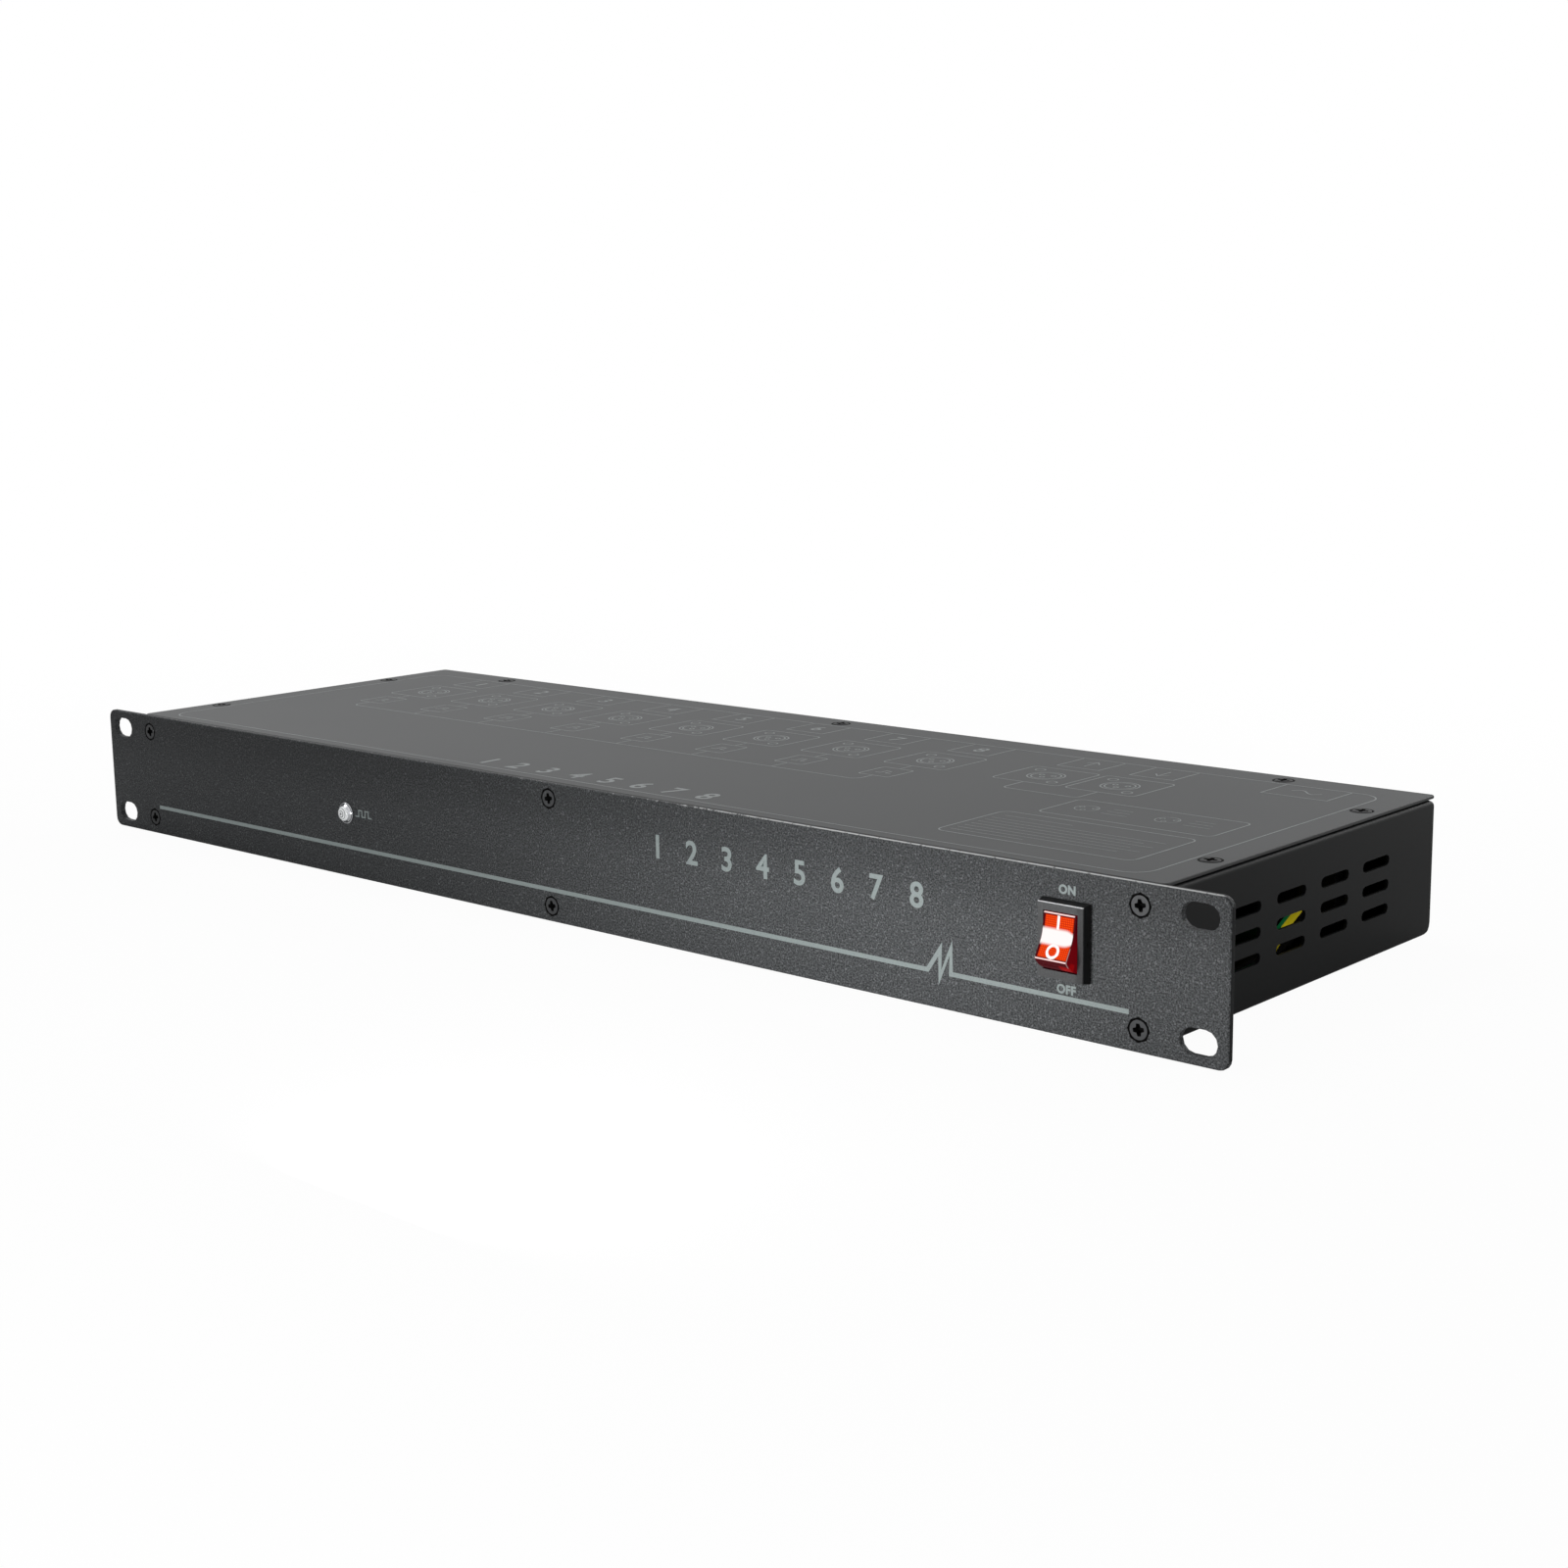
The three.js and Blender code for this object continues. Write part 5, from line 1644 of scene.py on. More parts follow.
@dataclass
class PanelConnector(Assembly):
    """A three-pole panel connector, drawn about its axis with its face towards Z."""

    name: str
    gender: Gender
    flange_width: float = 26 * MM
    flange_height: float = 31 * MM
    flange_foot: float = 0.3 * MM
    flange_face: float = 2.3 * MM
    corner_radius: float = 2.5 * MM
    edge: float = 0.3 * MM
    barrel_radius: float = 11.8 * MM
    barrel_depth: float = 17.8 * MM
    mouth: float = 0.6 * MM
    collar_width: float = 0.9 * MM
    collar_depth: float = 1.2 * MM
    crown: float = 0.5 * MM
    crown_rise: float = 0.15 * MM
    rim_fall: float = 0.1 * MM
    core: float = 7.9 * MM
    face_sink: float = 0.5 * MM
    socket_depth: float = 15 * MM
    cup_depth: float = 14.5 * MM
    base: float = 3.5 * MM
    base_gap: float = 0.3 * MM
    tail: float = 5 * MM
    tail_half: float = 0.6 * MM
    contact_offset: float = 3.96 * MM
    contact_hole: float = 1.5 * MM
    hole_lip: float = 0.15 * MM
    hole_chamfer: float = 0.25 * MM
    hole_depth: float = 10 * MM
    sleeve_gap: float = 0.17 * MM
    sleeve_wall: float = 0.28 * MM
    sleeve_sink: float = 0.8 * MM
    sleeve_length: float = 8.5 * MM
    contact_steps: int = 24
    pin_radius: float = 1.2 * MM
    pin_sink: float = 1.5 * MM
    disc_gap: float = 0.1 * MM
    rib_depth: float = 0.9 * MM
    rib_length: float = 9 * MM
    rib_spread: float = 0.14
    tab_half: float = 4.3 * MM
    tab_foot: float = 10.2 * MM
    tab_top: float = 14.7 * MM
    plate_half: float = 4 * MM
    plate_height: float = 4.2 * MM
    plate_rise: float = 1.2 * MM
    plate_sink: float = 0.4 * MM
    plate_corner: float = 0.6 * MM
    plate_edge: float = 0.25 * MM
    ridge_first: float = 1.1 * MM
    ridge_pitch: float = 0.85 * MM
    ridge_half: float = 2.4 * MM
    ridge_height: float = 0.35 * MM
    ridge_corner: float = 0.17 * MM
    ridge_rise: float = 0.16 * MM
    stem_half: float = 1.5 * MM
    stem_height: float = 1.2 * MM
    stem_length: float = 12 * MM
    fixing_x: float = 9.5 * MM
    fixing_y: float = 12 * MM
    fixing_rise: float = 0.1 * MM
    fixing_turns: tuple[float, float] = (65, -25)
    fixing: CrossScrew = CrossScrew(
        head_radius=2.6 * MM, dome=1.0 * MM, head_depth=0.3 * MM, recess_depth=0.8 * MM,
        shank_radius=1.4 * MM, length=3 * MM, steps=24,
    )
    steps: int = 64

    def build(self, centre: Vector) -> None:
        """Makes the connector's pieces.

        Args:
            centre: The point of the rear wall's outer face that its axis goes through.
        """
        place, piece = Side.REAR.at(centre), self.maker.piece
        finish, name = self.finishes, self.name
        female = self.gender is Gender.FEMALE
        shell = self._shell().put(place)
        piece(f"{name}_housing", shell, finish.moulding, "black_plastic", replaces=[f"{name}_shell"])
        insert = (self._female_insert() if female else self._male_insert()).put(place)
        piece(f"{name}_core", insert, finish.insert, "black_plastic", replaces=[f"{name}_insert"])
        contacts = (self._sleeves() if female else self._pins()).put(place)
        piece(f"{name}_contacts", contacts, finish.contact, "latch_metal")
        height = self.flange_face + self.fixing_rise
        screws = self.fixing.pair(self.fixing_x, self.fixing_y, height, self.fixing_turns)
        screws.put(place)
        piece(f"{name}_fixings", screws, finish.screw, "screw_steel", inner=finish.recess)
        if female:
            tab = self._latch().put(place)
            body, node = f"{name}_tab", f"{name}_latch"
            piece(f"{name}_tab_plate", tab, finish.nickel, "latch_metal", body, [node])

    def contact_places(self) -> list[Vector]:
        """Gives the middles of the three contacts."""
        offset = self.contact_offset
        return [Vector((offset, 0)), Vector((-offset, 0)), Vector((0, -offset))]

    def _opening(self) -> Outline:
        """Gives the flange's opening, with the latch's window above it.

        Returns:
            The outline.
        """
        radius = self.gender.value + self.mouth
        if self.gender is Gender.MALE:
            return circle(radius, self.steps)
        half = math.asin(self.tab_half / radius)
        round_part = arc((0, 0), radius, QUARTER + half, QUARTER - half + 2 * math.pi, self.steps)
        window = [Vector((x, self.tab_top)) for x in (self.tab_half, -self.tab_half)]
        return round_part + window

    def _shell(self) -> Form:
        """Makes the flange, the collar round the opening and the barrel behind it.

        Returns:
            The form.
        """
        form = Form()
        right, top = self.flange_width / 2, self.flange_height / 2
        outer = rounded_box((-right, -top), (right, top), self.corner_radius, 8)
        form.plate(self.flange_foot, self.flange_face, outer, self._opening())
        form.round_edges(self.edge, 2, 60.0)
        bore, face = self.gender.value, self.flange_face
        rim, foot = bore + self.mouth + self.collar_width, face - self.mouth - self.collar_depth
        collar = [
            (bore, foot),
            (bore, face - self.mouth),
            (bore + self.mouth, face),
            (bore + self.mouth + self.crown, face + self.crown_rise),
            (rim, face - self.rim_fall),
            (rim, foot),
        ]
        back = face - self.barrel_depth
        barrel = [(bore, foot), (self.barrel_radius, foot), (self.barrel_radius, back), (bore, back)]
        half = math.asin(self.tab_half / bore) if self.gender is Gender.FEMALE else 0.0
        for profile in (collar, barrel):
            form.sweep(profile, QUARTER + half, QUARTER - half + 2 * math.pi, self.steps)
        form.close()
        return form

    def _female_insert(self) -> Form:
        """Makes the core that a plug's shell slides over, with its three holes.

        Returns:
            The form.
        """
        form = Form()
        face = self.flange_face - self.face_sink
        floor = self.flange_face - self.socket_depth
        chamfer, ring = 0.4 * MM, self.gender.value - self.base_gap
        profile = [
            (self.core - chamfer, face),
            (self.core, face - chamfer),
            (self.core, floor),
            (ring, floor),
            (ring, floor - self.base),
        ]
        loops = [form.loop(circle(radius, self.steps), height) for radius, height in profile]
        for pair in zip(loops, loops[1:]):
            form.bridge(*pair)
        form.fill(loops[-1])
        wall = self.contact_hole - self.hole_lip
        levels = [
            (self.contact_hole, face),
            (wall, face - self.hole_chamfer),
            (wall, face - self.hole_depth),
        ]
        holes, lips, floors = (
            [form.loop(circle(radius, self.contact_steps, p), height) for p in self.contact_places()]
            for radius, height in levels
        )
        form.fill(loops[0], *holes)
        for hole, lip, floor_loop in zip(holes, lips, floors):
            form.bridge(hole, lip)
            form.bridge(lip, floor_loop)
            form.fill(floor_loop)
        form.close()
        return form

    def _male_insert(self) -> Form:
        """Makes the disc that carries the three pins, with the key rib above them.

        Returns:
            The form.
        """
        form = Form()
        radius = self.gender.value - self.disc_gap
        floor = self.flange_face - self.cup_depth
        back = self.flange_face - self.socket_depth - self.base
        form.lathe([(0.0, back), (radius, back), (radius, floor), (0.0, floor)], self.steps)
        inner, top = radius - self.rib_depth, floor + self.rib_length
        rib = [(inner, floor), (radius, floor), (radius, top), (inner, top)]
        form.sweep(rib, QUARTER - self.rib_spread, QUARTER + self.rib_spread, 4)
        form.close()
        return form

    def _pins(self) -> Form:
        """Turns the three pins, with round tips, and their tails.

        Returns:
            The form.
        """
        root, rings = 1 * MM, 5
        tip = self.flange_face - self.pin_sink
        foot = self.flange_face - self.cup_depth - root
        dome = [
            (self.pin_radius * math.cos(a), tip - self.pin_radius * (1 - math.sin(a)))
            for a in (i * QUARTER / rings for i in range(rings))
        ]
        return self._contacts([(0.0, foot), (self.pin_radius, foot), *dome, (0.0, tip)])

    def _sleeves(self) -> Form:
        """Turns the sprung sleeves that show inside the three holes, and their tails.

        Returns:
            The form.
        """
        outer = self.contact_hole - self.sleeve_gap
        inner = outer - self.sleeve_wall
        top = self.flange_face - self.face_sink - self.sleeve_sink
        foot = top - self.sleeve_length
        floor = foot + 0.5 * MM
        wall = [(outer, foot), (outer, top), (inner, top), (inner, floor)]
        return self._contacts([(0.0, foot), *wall, (0.0, floor)])

    def _contacts(self, profile: Profile) -> Form:
        """Turns the three contacts and adds the solder tails behind the base.

        Args:
            profile: One contact's points of radius and height.

        Returns:
            The form.
        """
        form = Form()
        for point in self.contact_places():
            form.lathe(profile, self.contact_steps, point)
        back = self.flange_face - self.socket_depth - self.base
        corner = Vector((self.tail_half, self.tail_half))
        for point in self.contact_places():
            form.plate(back - self.tail, back - 0.02 * MM, box(point - corner, point + corner))
        form.close()
        return form

    def _latch(self) -> Form:
        """Makes the sprung tab: a pressed plate with three ridges, and the stem behind it.

        Returns:
            The form.
        """
        form = Form()
        half, foot, overlap = self.plate_half, self.tab_foot, 0.1 * MM
        top, back = self.flange_face + self.plate_rise, self.flange_face - self.plate_sink
        low, high = (-half, foot), (half, foot + self.plate_height)
        form.plate(back, top, rounded_box(low, high, self.plate_corner, 5))
        form.round_edges(self.plate_edge, 2, 60.0)
        for row in range(3):
            y = foot + self.ridge_first + row * self.ridge_pitch
            low, high = (-self.ridge_half, y), (self.ridge_half, y + self.ridge_height)
            ridge = rounded_box(low, high, self.ridge_corner, 4)
            form.plate(top - overlap / 2, top + self.ridge_rise, ridge)
        stem = box((-self.stem_half, foot), (self.stem_half, foot + self.stem_height))
        form.plate(back - self.stem_length, back + overlap, stem)
        form.close()
        return form


@dataclass
class MainsInlet(Assembly):
    """The mains inlet with its blades, its fuse drawer and its two screws."""

    face: float = 2.8 * MM
    cavity_depth: float = 16 * MM
    cavity_lift: float = 4.6 * MM
    blade_length: float = 13 * MM
    blade_width: float = 2 * MM
    blade_height: float = 4 * MM
    spread: float = 7 * MM
    offset: float = 2 * MM
    body_edge: float = 0.3 * MM
    drawer_edge: float = 0.25 * MM
    blade_edge: float = 0.35 * MM
    fixing_x: float = 20 * MM
    fixing_rise: float = 0.05 * MM
    fixing_turns: tuple[float, float] = (30, -30)
    fixing: CrossScrew = CrossScrew(
        head_radius=2.9 * MM, dome=0.7 * MM, head_depth=0.2 * MM, recess_depth=0.7 * MM,
        shank_radius=1.4 * MM, length=2.5 * MM,
    )
    clear: float = 0.05 * MM
    cap_wall: float = 0.15 * MM
    cap_length: float = 5 * MM
    wire_radius: float = 0.12 * MM

    def build(self) -> None:
        """Makes the pieces of the inlet."""
        make, finish = self.maker, self.finishes
        make.refined("power_inlet", finish.moulding, "black_plastic", self.body_edge)
        make.refined("fuse_drawer", finish.insert, "black_plastic", self.drawer_edge, body="drawer")
        centre = middle_of("chassis_tray")
        centre.x = middle_of("power_inlet").x
        centre.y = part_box("chassis_tray")[1].y
        place = Side.REAR.at(centre)
        make.piece("inlet_blades", self._blades().put(place), finish.blade, "latch_metal")
        height = self.face + self.fixing_rise
        screws = self.fixing.pair(self.fixing_x, 0.0, height, self.fixing_turns)
        screws.put(place)
        make.piece("inlet_fixings", screws, finish.screw, "screw_steel", inner=finish.recess)
        self._fuse()

    def _fuse(self) -> None:
        """Makes the fuse: a glass tube, its two caps and the wire between them."""
        low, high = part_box("fuse")
        length, radius = high.y - low.y, (high.x - low.x) / 2
        start = middle_of("fuse")
        start.y = low.y
        glass, edge, gap, lid = radius - self.cap_wall, 0.3 * MM, 1 * MM, 0.5 * MM
        tube, caps = Form(), Form()
        tube.lathe(self._rod(glass, gap, length - gap), 32)
        for foot, way in ((0.0, 1), (length, -1)):
            profile = [(0.0, 0.0), (radius - edge, 0.0), (radius, edge), (radius, self.cap_length)]
            inner = [(glass, self.cap_length), (glass, lid), (0.0, lid)]
            caps.lathe([(r, foot + way * y) for r, y in profile + inner], 32)
        caps.lathe(self._rod(self.wire_radius, gap, length - gap), 8)
        for form in (tube, caps):
            form.close()
            form.put(Side.REAR.at(start))
        make, finish = self.maker, self.finishes
        make.piece("fuse_tube", tube, finish.resin, "fuse_glass", "drawer", ["fuse"])
        make.piece("fuse_caps", caps, finish.nickel, "latch_metal", "drawer")

    def _rod(self, radius: float, foot: float, top: float) -> Profile:
        """Gives the profile of a plain rod."""
        return [(0.0, foot), (radius, foot), (radius, top), (0.0, top)]

    def _blades(self) -> Form:
        """Makes the plated sleeves of the three blades, with bevelled tips.

        Returns:
            The form.
        """
        form = Form()
        foot = self.face - self.cavity_depth
        corner = Vector((self.blade_width / 2 + self.clear, self.blade_height / 2 + self.clear))
        for x, way in ((-self.spread, -1), (self.spread, -1), (0.0, 1)):
            middle = Vector((x, self.cavity_lift + way * self.offset))
            outline = box(middle - corner, middle + corner)
            form.plate(foot, foot + self.blade_length + self.clear, outline)
        form.round_edges(self.blade_edge)
        form.close()
        return form


@dataclass
class Inside(Assembly):
    """The boards and leads behind the vents."""

    lead_edge: float = 0.05 * MM

    def build(self) -> None:
        """Dresses what is inside the case."""
        for board in ("main_board", "supply_board", "connector_board"):
            dress(board, self.finishes.board)
        dress("earth_stud", self.finishes.zinc)
        self.maker.refined("earth_wire", self.finishes.earth, "earth_lead", self.lead_edge, 1)
        self.maker.refined("mains_lead", self.finishes.lead, "lead_black", self.lead_edge, 1)


@dataclass(frozen=True)
class NumeralRow:
    """A row of plain numerals, one for each output."""

    left: float
    right: float
    middle: float
    height: float
    weight: float = 0.2 * MM

    def write(self, form: Form) -> None:
        """Sets the numerals at even steps.

        Args:
            form: The form that they go into.
        """
        pitch = (self.right - self.left) / (OUTPUTS - 1)
        for i in range(OUTPUTS):
            form.write(str(i + 1), self.height, self.left + i * pitch, self.middle, self.weight)


@dataclass
class FrontPrint(Assembly):
    """The stripe with its pulse, the numerals and the switch's two words on the front panel."""

    ink: float = 0.04 * MM
    gap: float = 0.005 * MM
    stripe_height: float = 10.2 * MM
    stripe_width: float = 1.3 * MM
    stripe_left: float = -211.8 * MM
    stripe_right: float = 212.3 * MM
    pulse: Profile = (
        (148.2 * MM, 0.0),
        (152.5 * MM, 6.3 * MM),
        (152.4 * MM, -1.6 * MM),
        (156.1 * MM, 7.2 * MM),
        (156.1 * MM, 0.0),
    )
    numerals: NumeralRow = NumeralRow(47 * MM, 144.5 * MM, 30.2 * MM, 7.2 * MM)
    word_height: float = 2.35 * MM
    word_weight: float = 0.14 * MM
    word_spacing: float = 1.06
    on_height: float = 38.75 * MM
    off_height: float = 12.55 * MM
    symbol_left: float = -95.8 * MM
    symbol_middle: float = 22.5 * MM
    symbol_step: float = 1.7 * MM
    symbol_rise: float = 1.05 * MM
    symbol_line: float = 0.42 * MM

    def build(self) -> None:
        """Prints the panel."""
        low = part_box("front_panel")[0]
        form = Form()
        self._stripe(form)
        self.numerals.write(form)
        self._words(form)
        self._symbol(form)
        raise_ink(form, self.ink)
        form.put(Side.FRONT.at(Vector((0, low.y - self.gap, low.z))))
        self.maker.piece("panel_print", form, self.finishes.ink, "panel_coat")

    def _stripe(self, form: Form) -> None:
        """Draws the stripe. It breaks into two sharp peaks near its right end.

        Args:
            form: The form that it goes into.
        """
        y = self.stripe_height
        pulse = [(x, y + rise) for x, rise in self.pulse]
        points = [(self.stripe_left, y), *pulse, (self.stripe_right, y)]
        Pen(form, self.stripe_width).stroke(points)

    def _words(self, form: Form) -> None:
        """Sets the switch's two words.

        Args:
            form: The form that they go into.
        """
        x = middle_of("switch_housing").x
        for word, y in (("ON", self.on_height), ("OFF", self.off_height)):
            form.write(word, self.word_height, x, y, self.word_weight, self.word_spacing)

    def _symbol(self, form: Form) -> None:
        """Draws a small square wave beside the lamp.

        Args:
            form: The form that it goes into.
        """
        left, middle = self.symbol_left, self.symbol_middle
        wave = [(0, -1), (1, -1), (1, 1), (2, 1), (2, -1), (3, -1), (3, 1), (4, 1), (4, -1), (5, -1)]
        points = [(left + x * self.symbol_step, middle + y * self.symbol_rise) for x, y in wave]
        Pen(form, self.symbol_line).stroke(points)


@dataclass
class CoverPrint(Assembly):
    """The fine line print on the cover, which maps what the rear wall holds."""

    ink: float = 0.03 * MM
    gap: float = 0.004 * MM
    line: float = 0.45 * MM
    fine_line: float = 0.3 * MM
    border_low: tuple[float, float] = (-211 * MM, 7 * MM)
    border_high: tuple[float, float] = (211 * MM, 134 * MM)
    border_radius: float = 7 * MM
    icon_half: float = 12.3 * MM
    icon_foot: float = 90 * MM
    icon_top: float = 113.5 * MM
    shell_ring: float = 5.9 * MM
    core_ring: float = 4.7 * MM
    hole_ring: float = 0.75 * MM
    screw_ring: float = 1.6 * MM
    screw_reach: float = 7.4 * MM
    label_half: float = 8.2 * MM
    label_foot: float = 118.6 * MM
    label_height: float = 6.5 * MM
    label_weight: float = 0.05 * MM
    power_half: float = 10.8 * MM
    small_half: float = 6 * MM
    small_foot: float = 70.5 * MM
    small_top: float = 83.5 * MM
    group_line: float = 62.5 * MM
    link_line: float = 79 * MM
    note_boxes: Sequence[tuple[Point, Point, float]] = (
        ((143.5 * MM, 56 * MM), (200.7 * MM, 78 * MM), 2.4 * MM),
        ((136 * MM, 18.6 * MM), (200.3 * MM, 51 * MM), 3 * MM),
    )
    numerals: NumeralRow = NumeralRow(-43 * MM, 54 * MM, 14.5 * MM, 8.4 * MM)
    form: Form = field(default_factory=Form)

    def __post_init__(self) -> None:
        """Takes up the pen."""
        self.pen = Pen(self.form, self.line)

    def build(self) -> None:
        """Prints the cover."""
        front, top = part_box("front_panel")[0].y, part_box("top_cover")[1].z
        self.pen.frame(self.border_low, self.border_high, self.border_radius, 8)
        self.numerals.write(self.form)
        xs = [middle_of(f"output_{i}_shell").x for i in range(1, OUTPUTS + 1)]
        for i, x in enumerate(xs):
            self._output(x, str(i + 1))
        self._group(xs)
        self._link(middle_of("through_shell").x, middle_of("input_shell").x)
        self._power(middle_of("power_inlet").x)
        self._notes()
        raise_ink(self.form, self.ink)
        self.form.put(Side.TOP.at(Vector((0, front, top + self.gap))))
        self.maker.piece("cover_print", self.form, self.finishes.fine_ink, "cover_paint")

    def _rear(self) -> float:
        """Gives the line, just inside the border, where the labels end."""
        return self.border_high[1] - self.line

    def _socket(self, x: float) -> None:
        """Draws the picture of one connector in its box.

        Args:
            x: Where it stands.
        """
        half, foot, top = self.icon_half, self.icon_foot, self.icon_top
        self.pen.frame((x - half, foot), (x + half, top), 1.8 * MM)
        middle = Vector((x, (foot + top) / 2))
        self.pen.ring(self.shell_ring, 36, middle)
        self.pen.ring(self.core_ring, 32, middle)
        self._holes(self.pen, middle)
        for way in (1, -1):
            self.pen.ring(self.screw_ring, 16, middle + Vector((-way, way)) * self.screw_reach)

    def _holes(self, pen: Pen, middle: Vector) -> None:
        """Draws three small rings."""
        for place in ((-2.2, 0.9), (2.2, 0.9), (0.0, -2.2)):
            pen.ring(self.hole_ring, 12, middle + Vector(place) * MM)

    def _output(self, x: float, numeral: str) -> None:
        """Draws an output: its numeral, its picture and the box of its driver.

        Args:
            x: Where it stands.
            numeral: Its number.
        """
        self._socket(x)
        self._label(x, self.label_half)
        middle = (self.label_foot + self._rear()) / 2
        self.form.write(numeral, self.label_height, x, middle, self.label_weight)
        half, foot, top = self.small_half, self.small_foot, self.small_top
        self.pen.frame((x - half, foot), (x + half, top), 1 * MM)
        centre = Vector((x, (foot + top) / 2))
        wave = [(-3, -1.6), (-1, -1.6), (-1, 1.6), (1, 1.6), (1, -1.6), (3, -1.6)]
        self.pen.stroke([centre + Vector(p) * MM for p in wave])
        self.pen.stroke([(x, self.icon_foot - self.line), (x, top + self.line)])

    def _label(self, x: float, half: float) -> None:
        """Draws a label's box, which is open to the border behind it."""
        foot, rear = self.label_foot, self._rear()
        self.pen.stroke([(x - half, rear), (x - half, foot), (x + half, foot), (x + half, rear)])

    def _bracket(
        self, left: Point, right: Point, foot: float, radius: float, steps: int
    ) -> None:
        """Draws a line from one point down, across and up to another, with round corners.

        Args:
            left: The point where it starts.
            right: The point where it ends.
            foot: How far down it runs.
            radius: The radius of its corners.
            steps: How many straight steps each corner has.
        """
        down = arc((left[0] + radius, foot + radius), radius, 2 * QUARTER, 3 * QUARTER, steps)
        up = arc((right[0] - radius, foot + radius), radius, -QUARTER, 0.0, steps)
        self.pen.stroke([left, *down, *up, right])

    def _group(self, xs: Sequence[float]) -> None:
        """Draws the line that joins the outputs' drivers.

        Args:
            xs: Where the outputs stand.
        """
        top = self.small_foot - self.line
        self._bracket((xs[0], top), (xs[-1], top), self.group_line, 3 * MM, 6)
        for x in xs[1:-1]:
            self.pen.stroke([(x, top), (x, self.group_line + self.line)])

    def _link(self, through: float, entry: float) -> None:
        """Draws the through connector and the input, joined by a line.

        Args:
            through: Where the through connector stands.
            entry: Where the input stands.
        """
        for x in (through, entry):
            self._socket(x)
            self._label(x, self.label_half * 0.95)
        top = self.icon_foot - self.line
        self._bracket((through, top), (entry, top), self.link_line, 2 * MM, 5)
        middle = (self.label_foot + self._rear()) / 2
        for x, way in ((through, 1), (entry, -1)):
            self._arrow(Vector((x, middle)), way)

    def _arrow(self, middle: Vector, way: int) -> None:
        """Draws an arrow that points out of the case or into it.

        Args:
            middle: Its middle.
            way: 1 for out and -1 for in.
        """
        tip = middle + Vector((0, way * 4)) * MM
        self.pen.stroke([middle - Vector((0, way * 4)) * MM, tip - Vector((0, way * 0.8)) * MM])
        left, right = (tip + Vector((side * 2.4, -way * 3)) * MM for side in (-1, 1))
        self.pen.stroke([left, tip, right])

    def _power(self, x: float) -> None:
        """Draws the inlet's label with the sign for alternating current.

        Args:
            x: Where it stands.
        """
        self._label(x, self.power_half)
        middle = (self.label_foot + self.border_high[1]) / 2
        length, rise, steps = 5 * MM, 1.8 * MM, 16
        shares = [i / steps for i in range(2 * steps + 1)]
        wave = [(x + length * (s - 1), middle + rise * math.sin(s * math.pi)) for s in shares]
        self.pen.stroke(wave)

    def _notes(self) -> None:
        """Draws the two note boxes: contact pictures beside rules, and a block of rules."""
        for low, high, radius in self.note_boxes:
            self.pen.frame(low, high, radius)
        fine = Pen(self.form, self.fine_line)
        for x in (152.5 * MM, 179.5 * MM):
            middle = Vector((x, 68 * MM))
            fine.ring(3.6 * MM, 24, middle)
            self._holes(fine, middle)
            for row in range(3):
                y = middle.y + (row - 1) * 3.2 * MM
                fine.stroke([(x + 7 * MM, y), (x + (15.5 - row) * MM, y)])
        self._rule(fine, 140, 163, 45.8)
        for row in range(7):
            right = 196 - 5 * (row % 2) if row < 6 else 163
            self._rule(fine, 138.6, right, 41.4 - 3.15 * row)

    def _rule(self, pen: Pen, left: float, right: float, y: float) -> None:
        """Draws a level line between two places, which are in millimetres."""
        pen.stroke([(left * MM, y * MM), (right * MM, y * MM)])


# Studio


@dataclass(frozen=True)
class Lamp:
    """A square soft lamp that lights the object and isn't seen itself."""

    name: str
    place: tuple[float, float, float]
    aim: tuple[float, float, float]
    size: float
    power: float

    def hang(self) -> None:
        """Hangs the lamp so that it faces the point that it is aimed at."""
        data = bpy.data.lights.new(self.name, "AREA")
        data.size, data.energy = self.size, self.power
        lamp = show(self.name, data)
        lamp.visible_camera = False
        place = Vector(self.place)
        turn = (Vector(self.aim) - place).to_track_quat("-Z", "Y").to_matrix().to_4x4()
        lamp.matrix_world = Matrix.Translation(place) @ turn


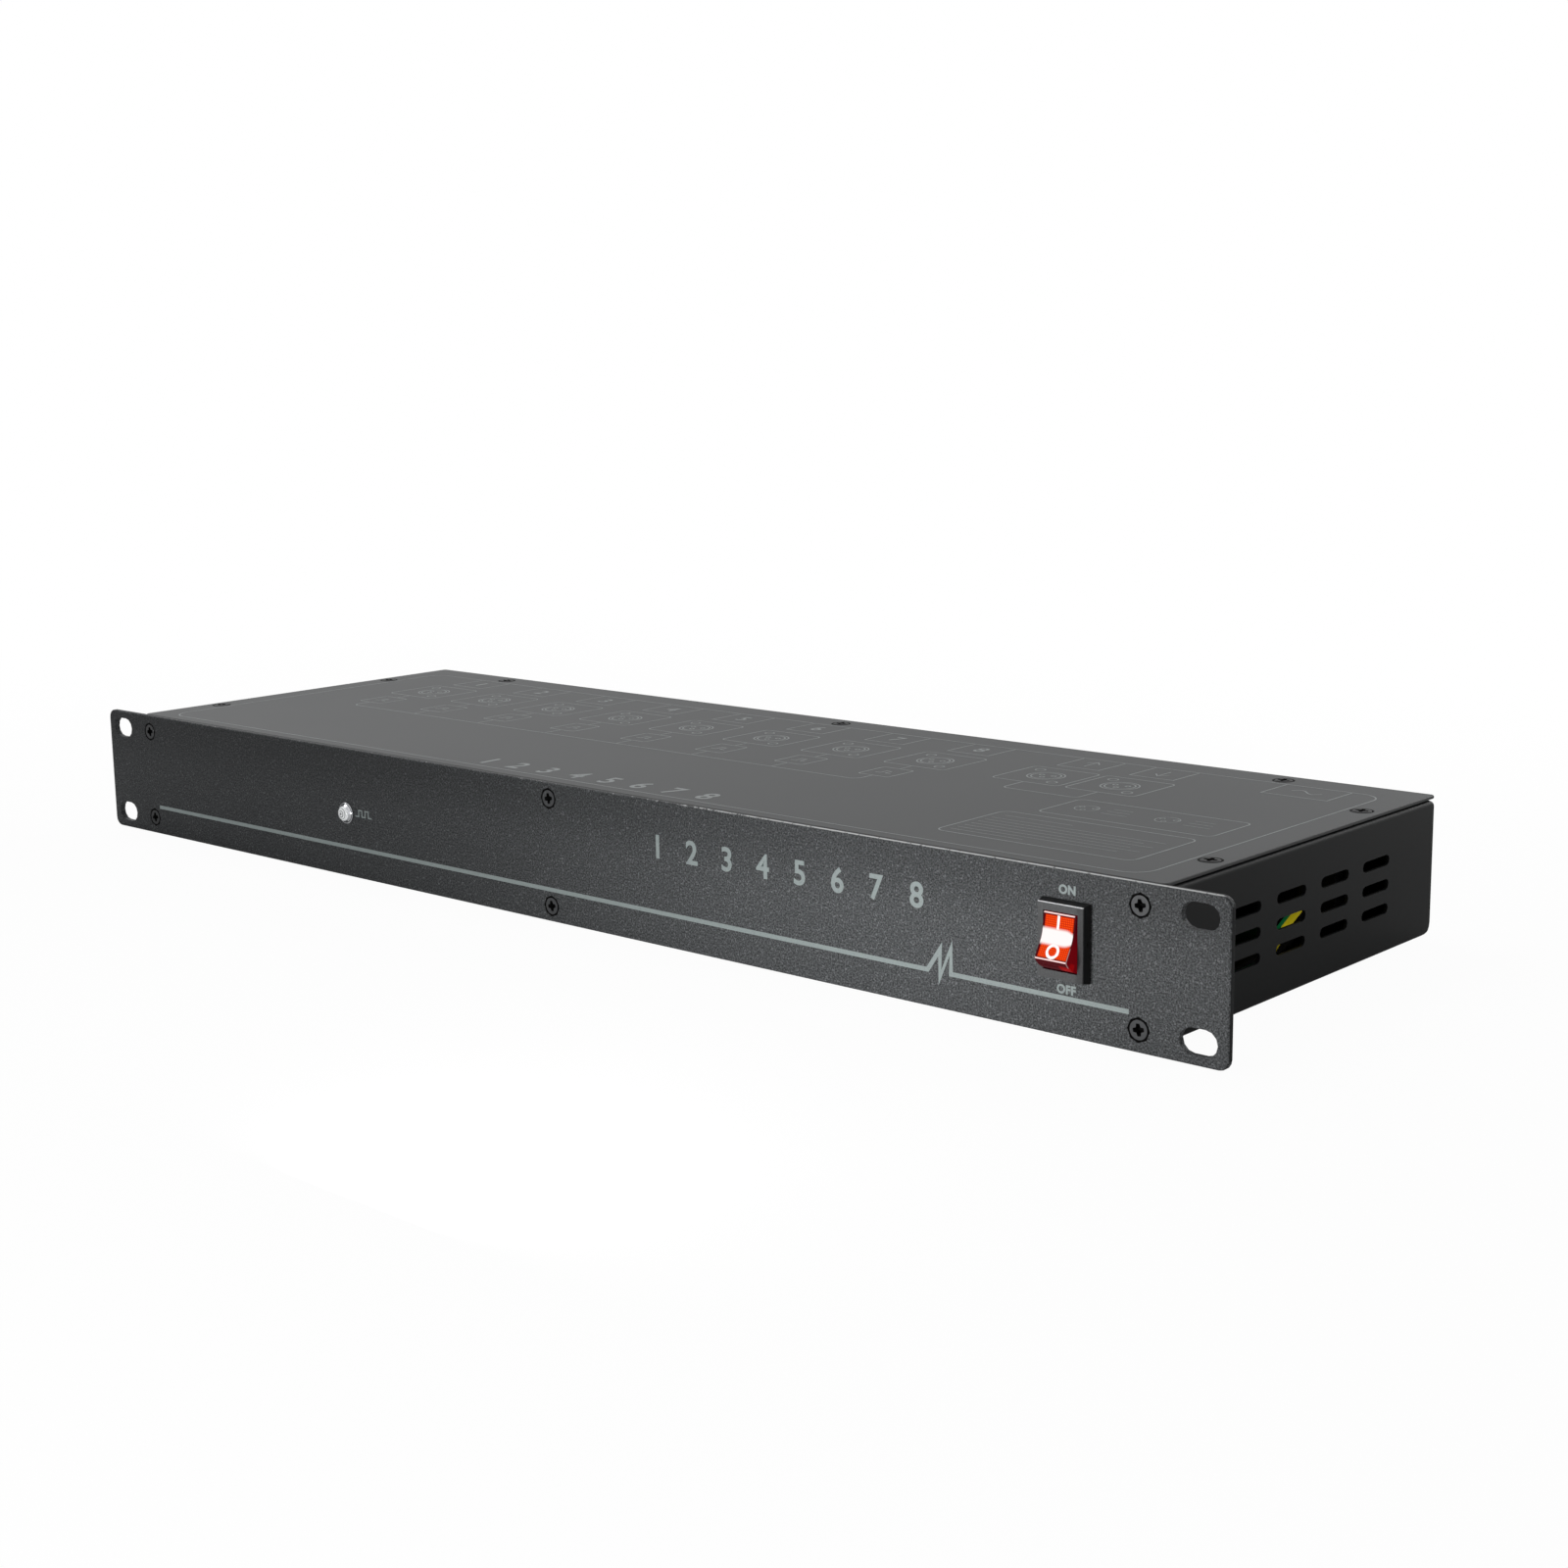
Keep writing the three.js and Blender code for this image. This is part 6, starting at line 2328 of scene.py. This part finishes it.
@dataclass
class Studio:
    """The camera, the floor and the light."""

    lens: float = 53.98
    sensor: float = 36.0
    azimuth: float = 41.89
    elevation: float = 10.82
    roll: float = 0.83
    eye: Vector = field(default_factory=lambda: Vector((527.5, -479.5, 178.0)) * MM)
    floor_size: float = 14.0
    floor_colour: Colour = (0.7, 0.7, 0.7)
    floor_share: float = 0.965
    floor_reach: float = 0.5
    mirror_share: float = 0.1
    mirror_reach: float = 0.35
    fill: float = 0.065
    lamps: tuple[Lamp, ...] = (
        Lamp("front", (0.145, -0.26, 0.028), (0.15, -0.07, 0.018), 0.05, 0.3),
        Lamp("top", (-0.85, 0.05, 1.2), (0.0, 0.0, 0.04), 1.0, 15.0),
        Lamp("right", (1.3, -0.15, 0.35), (0.2, 0.0, 0.02), 0.5, 1.45),
        Lamp("rear", (0.35, 1.3, 0.7), (0.0, 0.07, 0.02), 1.0, 12.0),
    )

    def build(self, panel_face: float) -> None:
        """Sets up the studio.

        Args:
            panel_face: Where the front panel's face lies along Y.
        """
        self._camera(panel_face)
        self._floor()
        self._world()
        for lamp in self.lamps:
            lamp.hang()

    def _camera(self, panel_face: float) -> None:
        """Puts the camera where the photograph was taken from.

        Args:
            panel_face: Where the front panel's face lies along Y.
        """
        data = bpy.data.cameras.new("camera")
        data.lens, data.sensor_width = self.lens, self.sensor
        data.clip_start, data.clip_end = 0.01, 50.0
        camera = show("camera", data)
        turn, lift = math.radians(self.azimuth), math.radians(self.elevation)
        level = math.cos(lift)
        ahead = Vector((-math.sin(turn) * level, math.cos(turn) * level, -math.sin(lift)))
        facing = ahead.to_track_quat("-Z", "Y").to_matrix()
        facing = facing @ Matrix.Rotation(-math.radians(self.roll), 3, "Z")
        place = self.eye + Vector((0, panel_face, 0))
        camera.matrix_world = Matrix.Translation(place) @ facing.to_4x4()
        bpy.context.scene.camera = camera

    def _rays(self, shader: Shader) -> tuple[Wire, Wire]:
        """Tells the kinds of ray apart.

        Args:
            shader: The graph.

        Returns:
            A mask of what the camera sees, directly or through glass, and one of what mirrors show.
        """
        path = shader.node("ShaderNodeLightPath")
        sight = shader.wire(path, "Is Camera Ray")
        through = shader.wire(path, "Is Transmission Ray")
        return shader.maths("MAXIMUM", sight, through), shader.wire(path, "Is Glossy Ray")

    def _floor(self) -> None:
        """Lays the pale floor, which keeps the object's shadow."""
        form = bmesh.new()
        bmesh.ops.create_grid(form, x_segments=1, y_segments=1, size=self.floor_size)
        mesh = bpy.data.meshes.new("floor")
        form.to_mesh(mesh)
        form.free()
        floor = show("floor", mesh)
        floor.location.z = -0.1 * MM
        shader = Shader.named("floor")
        matt = shader.node("ShaderNodeBsdfDiffuse", sockets={"Color": (*self.floor_colour, 1.0)})
        white = shader.node("ShaderNodeEmission", sockets={"Strength": 1.0})
        beside, before = self._distances(shader)
        seen, mirrored = self._rays(shader)
        far = shader.step(shader.maths("MAXIMUM", beside, before), 0.0, self.floor_reach)
        direct = self.floor_share + far * (1 - self.floor_share)
        # Beside the case, mirrors see the floor darker: painted shade in the case's reflections.
        shade = shader.band(beside, 0.0, 0.02, self.mirror_reach) * shader.step(before, 0.3, 0.12)
        mirror = 1 - shade * (1 - self.mirror_share)
        sockets = {0: seen * direct + mirrored * mirror, 1: shader.wire(matt), 2: shader.wire(white)}
        mixed = shader.node("ShaderNodeMixShader", sockets=sockets)
        shader.node("ShaderNodeOutputMaterial", sockets={"Surface": shader.wire(mixed)})
        mesh.materials.append(shader.owner)

    def _distances(self, shader: Shader) -> tuple[Wire, Wire]:
        """Gives how far a point of the floor lies beyond the case, across and in depth.

        Args:
            shader: The graph.

        Returns:
            The two distances, which are zero or less below the case.
        """
        low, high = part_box("chassis_tray")
        middle, half = (low + high) / 2, (high - low) / 2
        x, y, _ = shader.parts(shader.place())
        return (
            abs(x - middle.x) - half.x,
            abs(y - middle.y) - half.y,
        )

    def _world(self) -> None:
        """Makes the surroundings: white to the eye, and a softer light on the object."""
        world = bpy.data.worlds.new("studio")
        bpy.context.scene.world = world
        shader = Shader(world)
        seen, mirrored = self._rays(shader)
        strength = self.fill + (seen + mirrored) * (1 - self.fill)
        sockets = {"Color": (1.0, 1.0, 1.0, 1.0), "Strength": strength}
        light = shader.node("ShaderNodeBackground", sockets=sockets)
        shader.node("ShaderNodeOutputWorld", sockets={"Surface": shader.wire(light)})


def main() -> None:
    """Builds the splitter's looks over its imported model."""
    logging.basicConfig(level=logging.INFO, format="%(name)s: %(message)s")
    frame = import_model()
    hinge = next(j for j in frame["joints"] if j["name"] == "rocker_tilt")
    pivot = Vector(hinge["pos_m"])
    tilt = -math.radians(hinge["range_deg"][1] / 2)
    bpy.context.scene.view_settings.view_transform = "Standard"
    Studio().build(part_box("front_panel")[0].y)
    maker, finishes = Maker(), Finishes(pivot, tilt)
    Case(maker, finishes).build()
    FrontPrint(maker, finishes).build()
    CoverPrint(maker, finishes).build()
    RockerSwitch(maker, finishes, pivot, tilt).build()
    IndicatorLamp(maker, finishes).build()
    names = [f"output_{i}" for i in range(1, OUTPUTS + 1)] + ["through", "input"]
    for name in names:
        centre = middle_of(f"{name}_shell")
        centre.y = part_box("chassis_tray")[1].y
        gender = Gender.MALE if name == "input" else Gender.FEMALE
        PanelConnector(maker, finishes, name, gender).build(centre)
    MainsInlet(maker, finishes).build()
    Inside(maker, finishes).build()


if __name__ == "__main__":
    main()
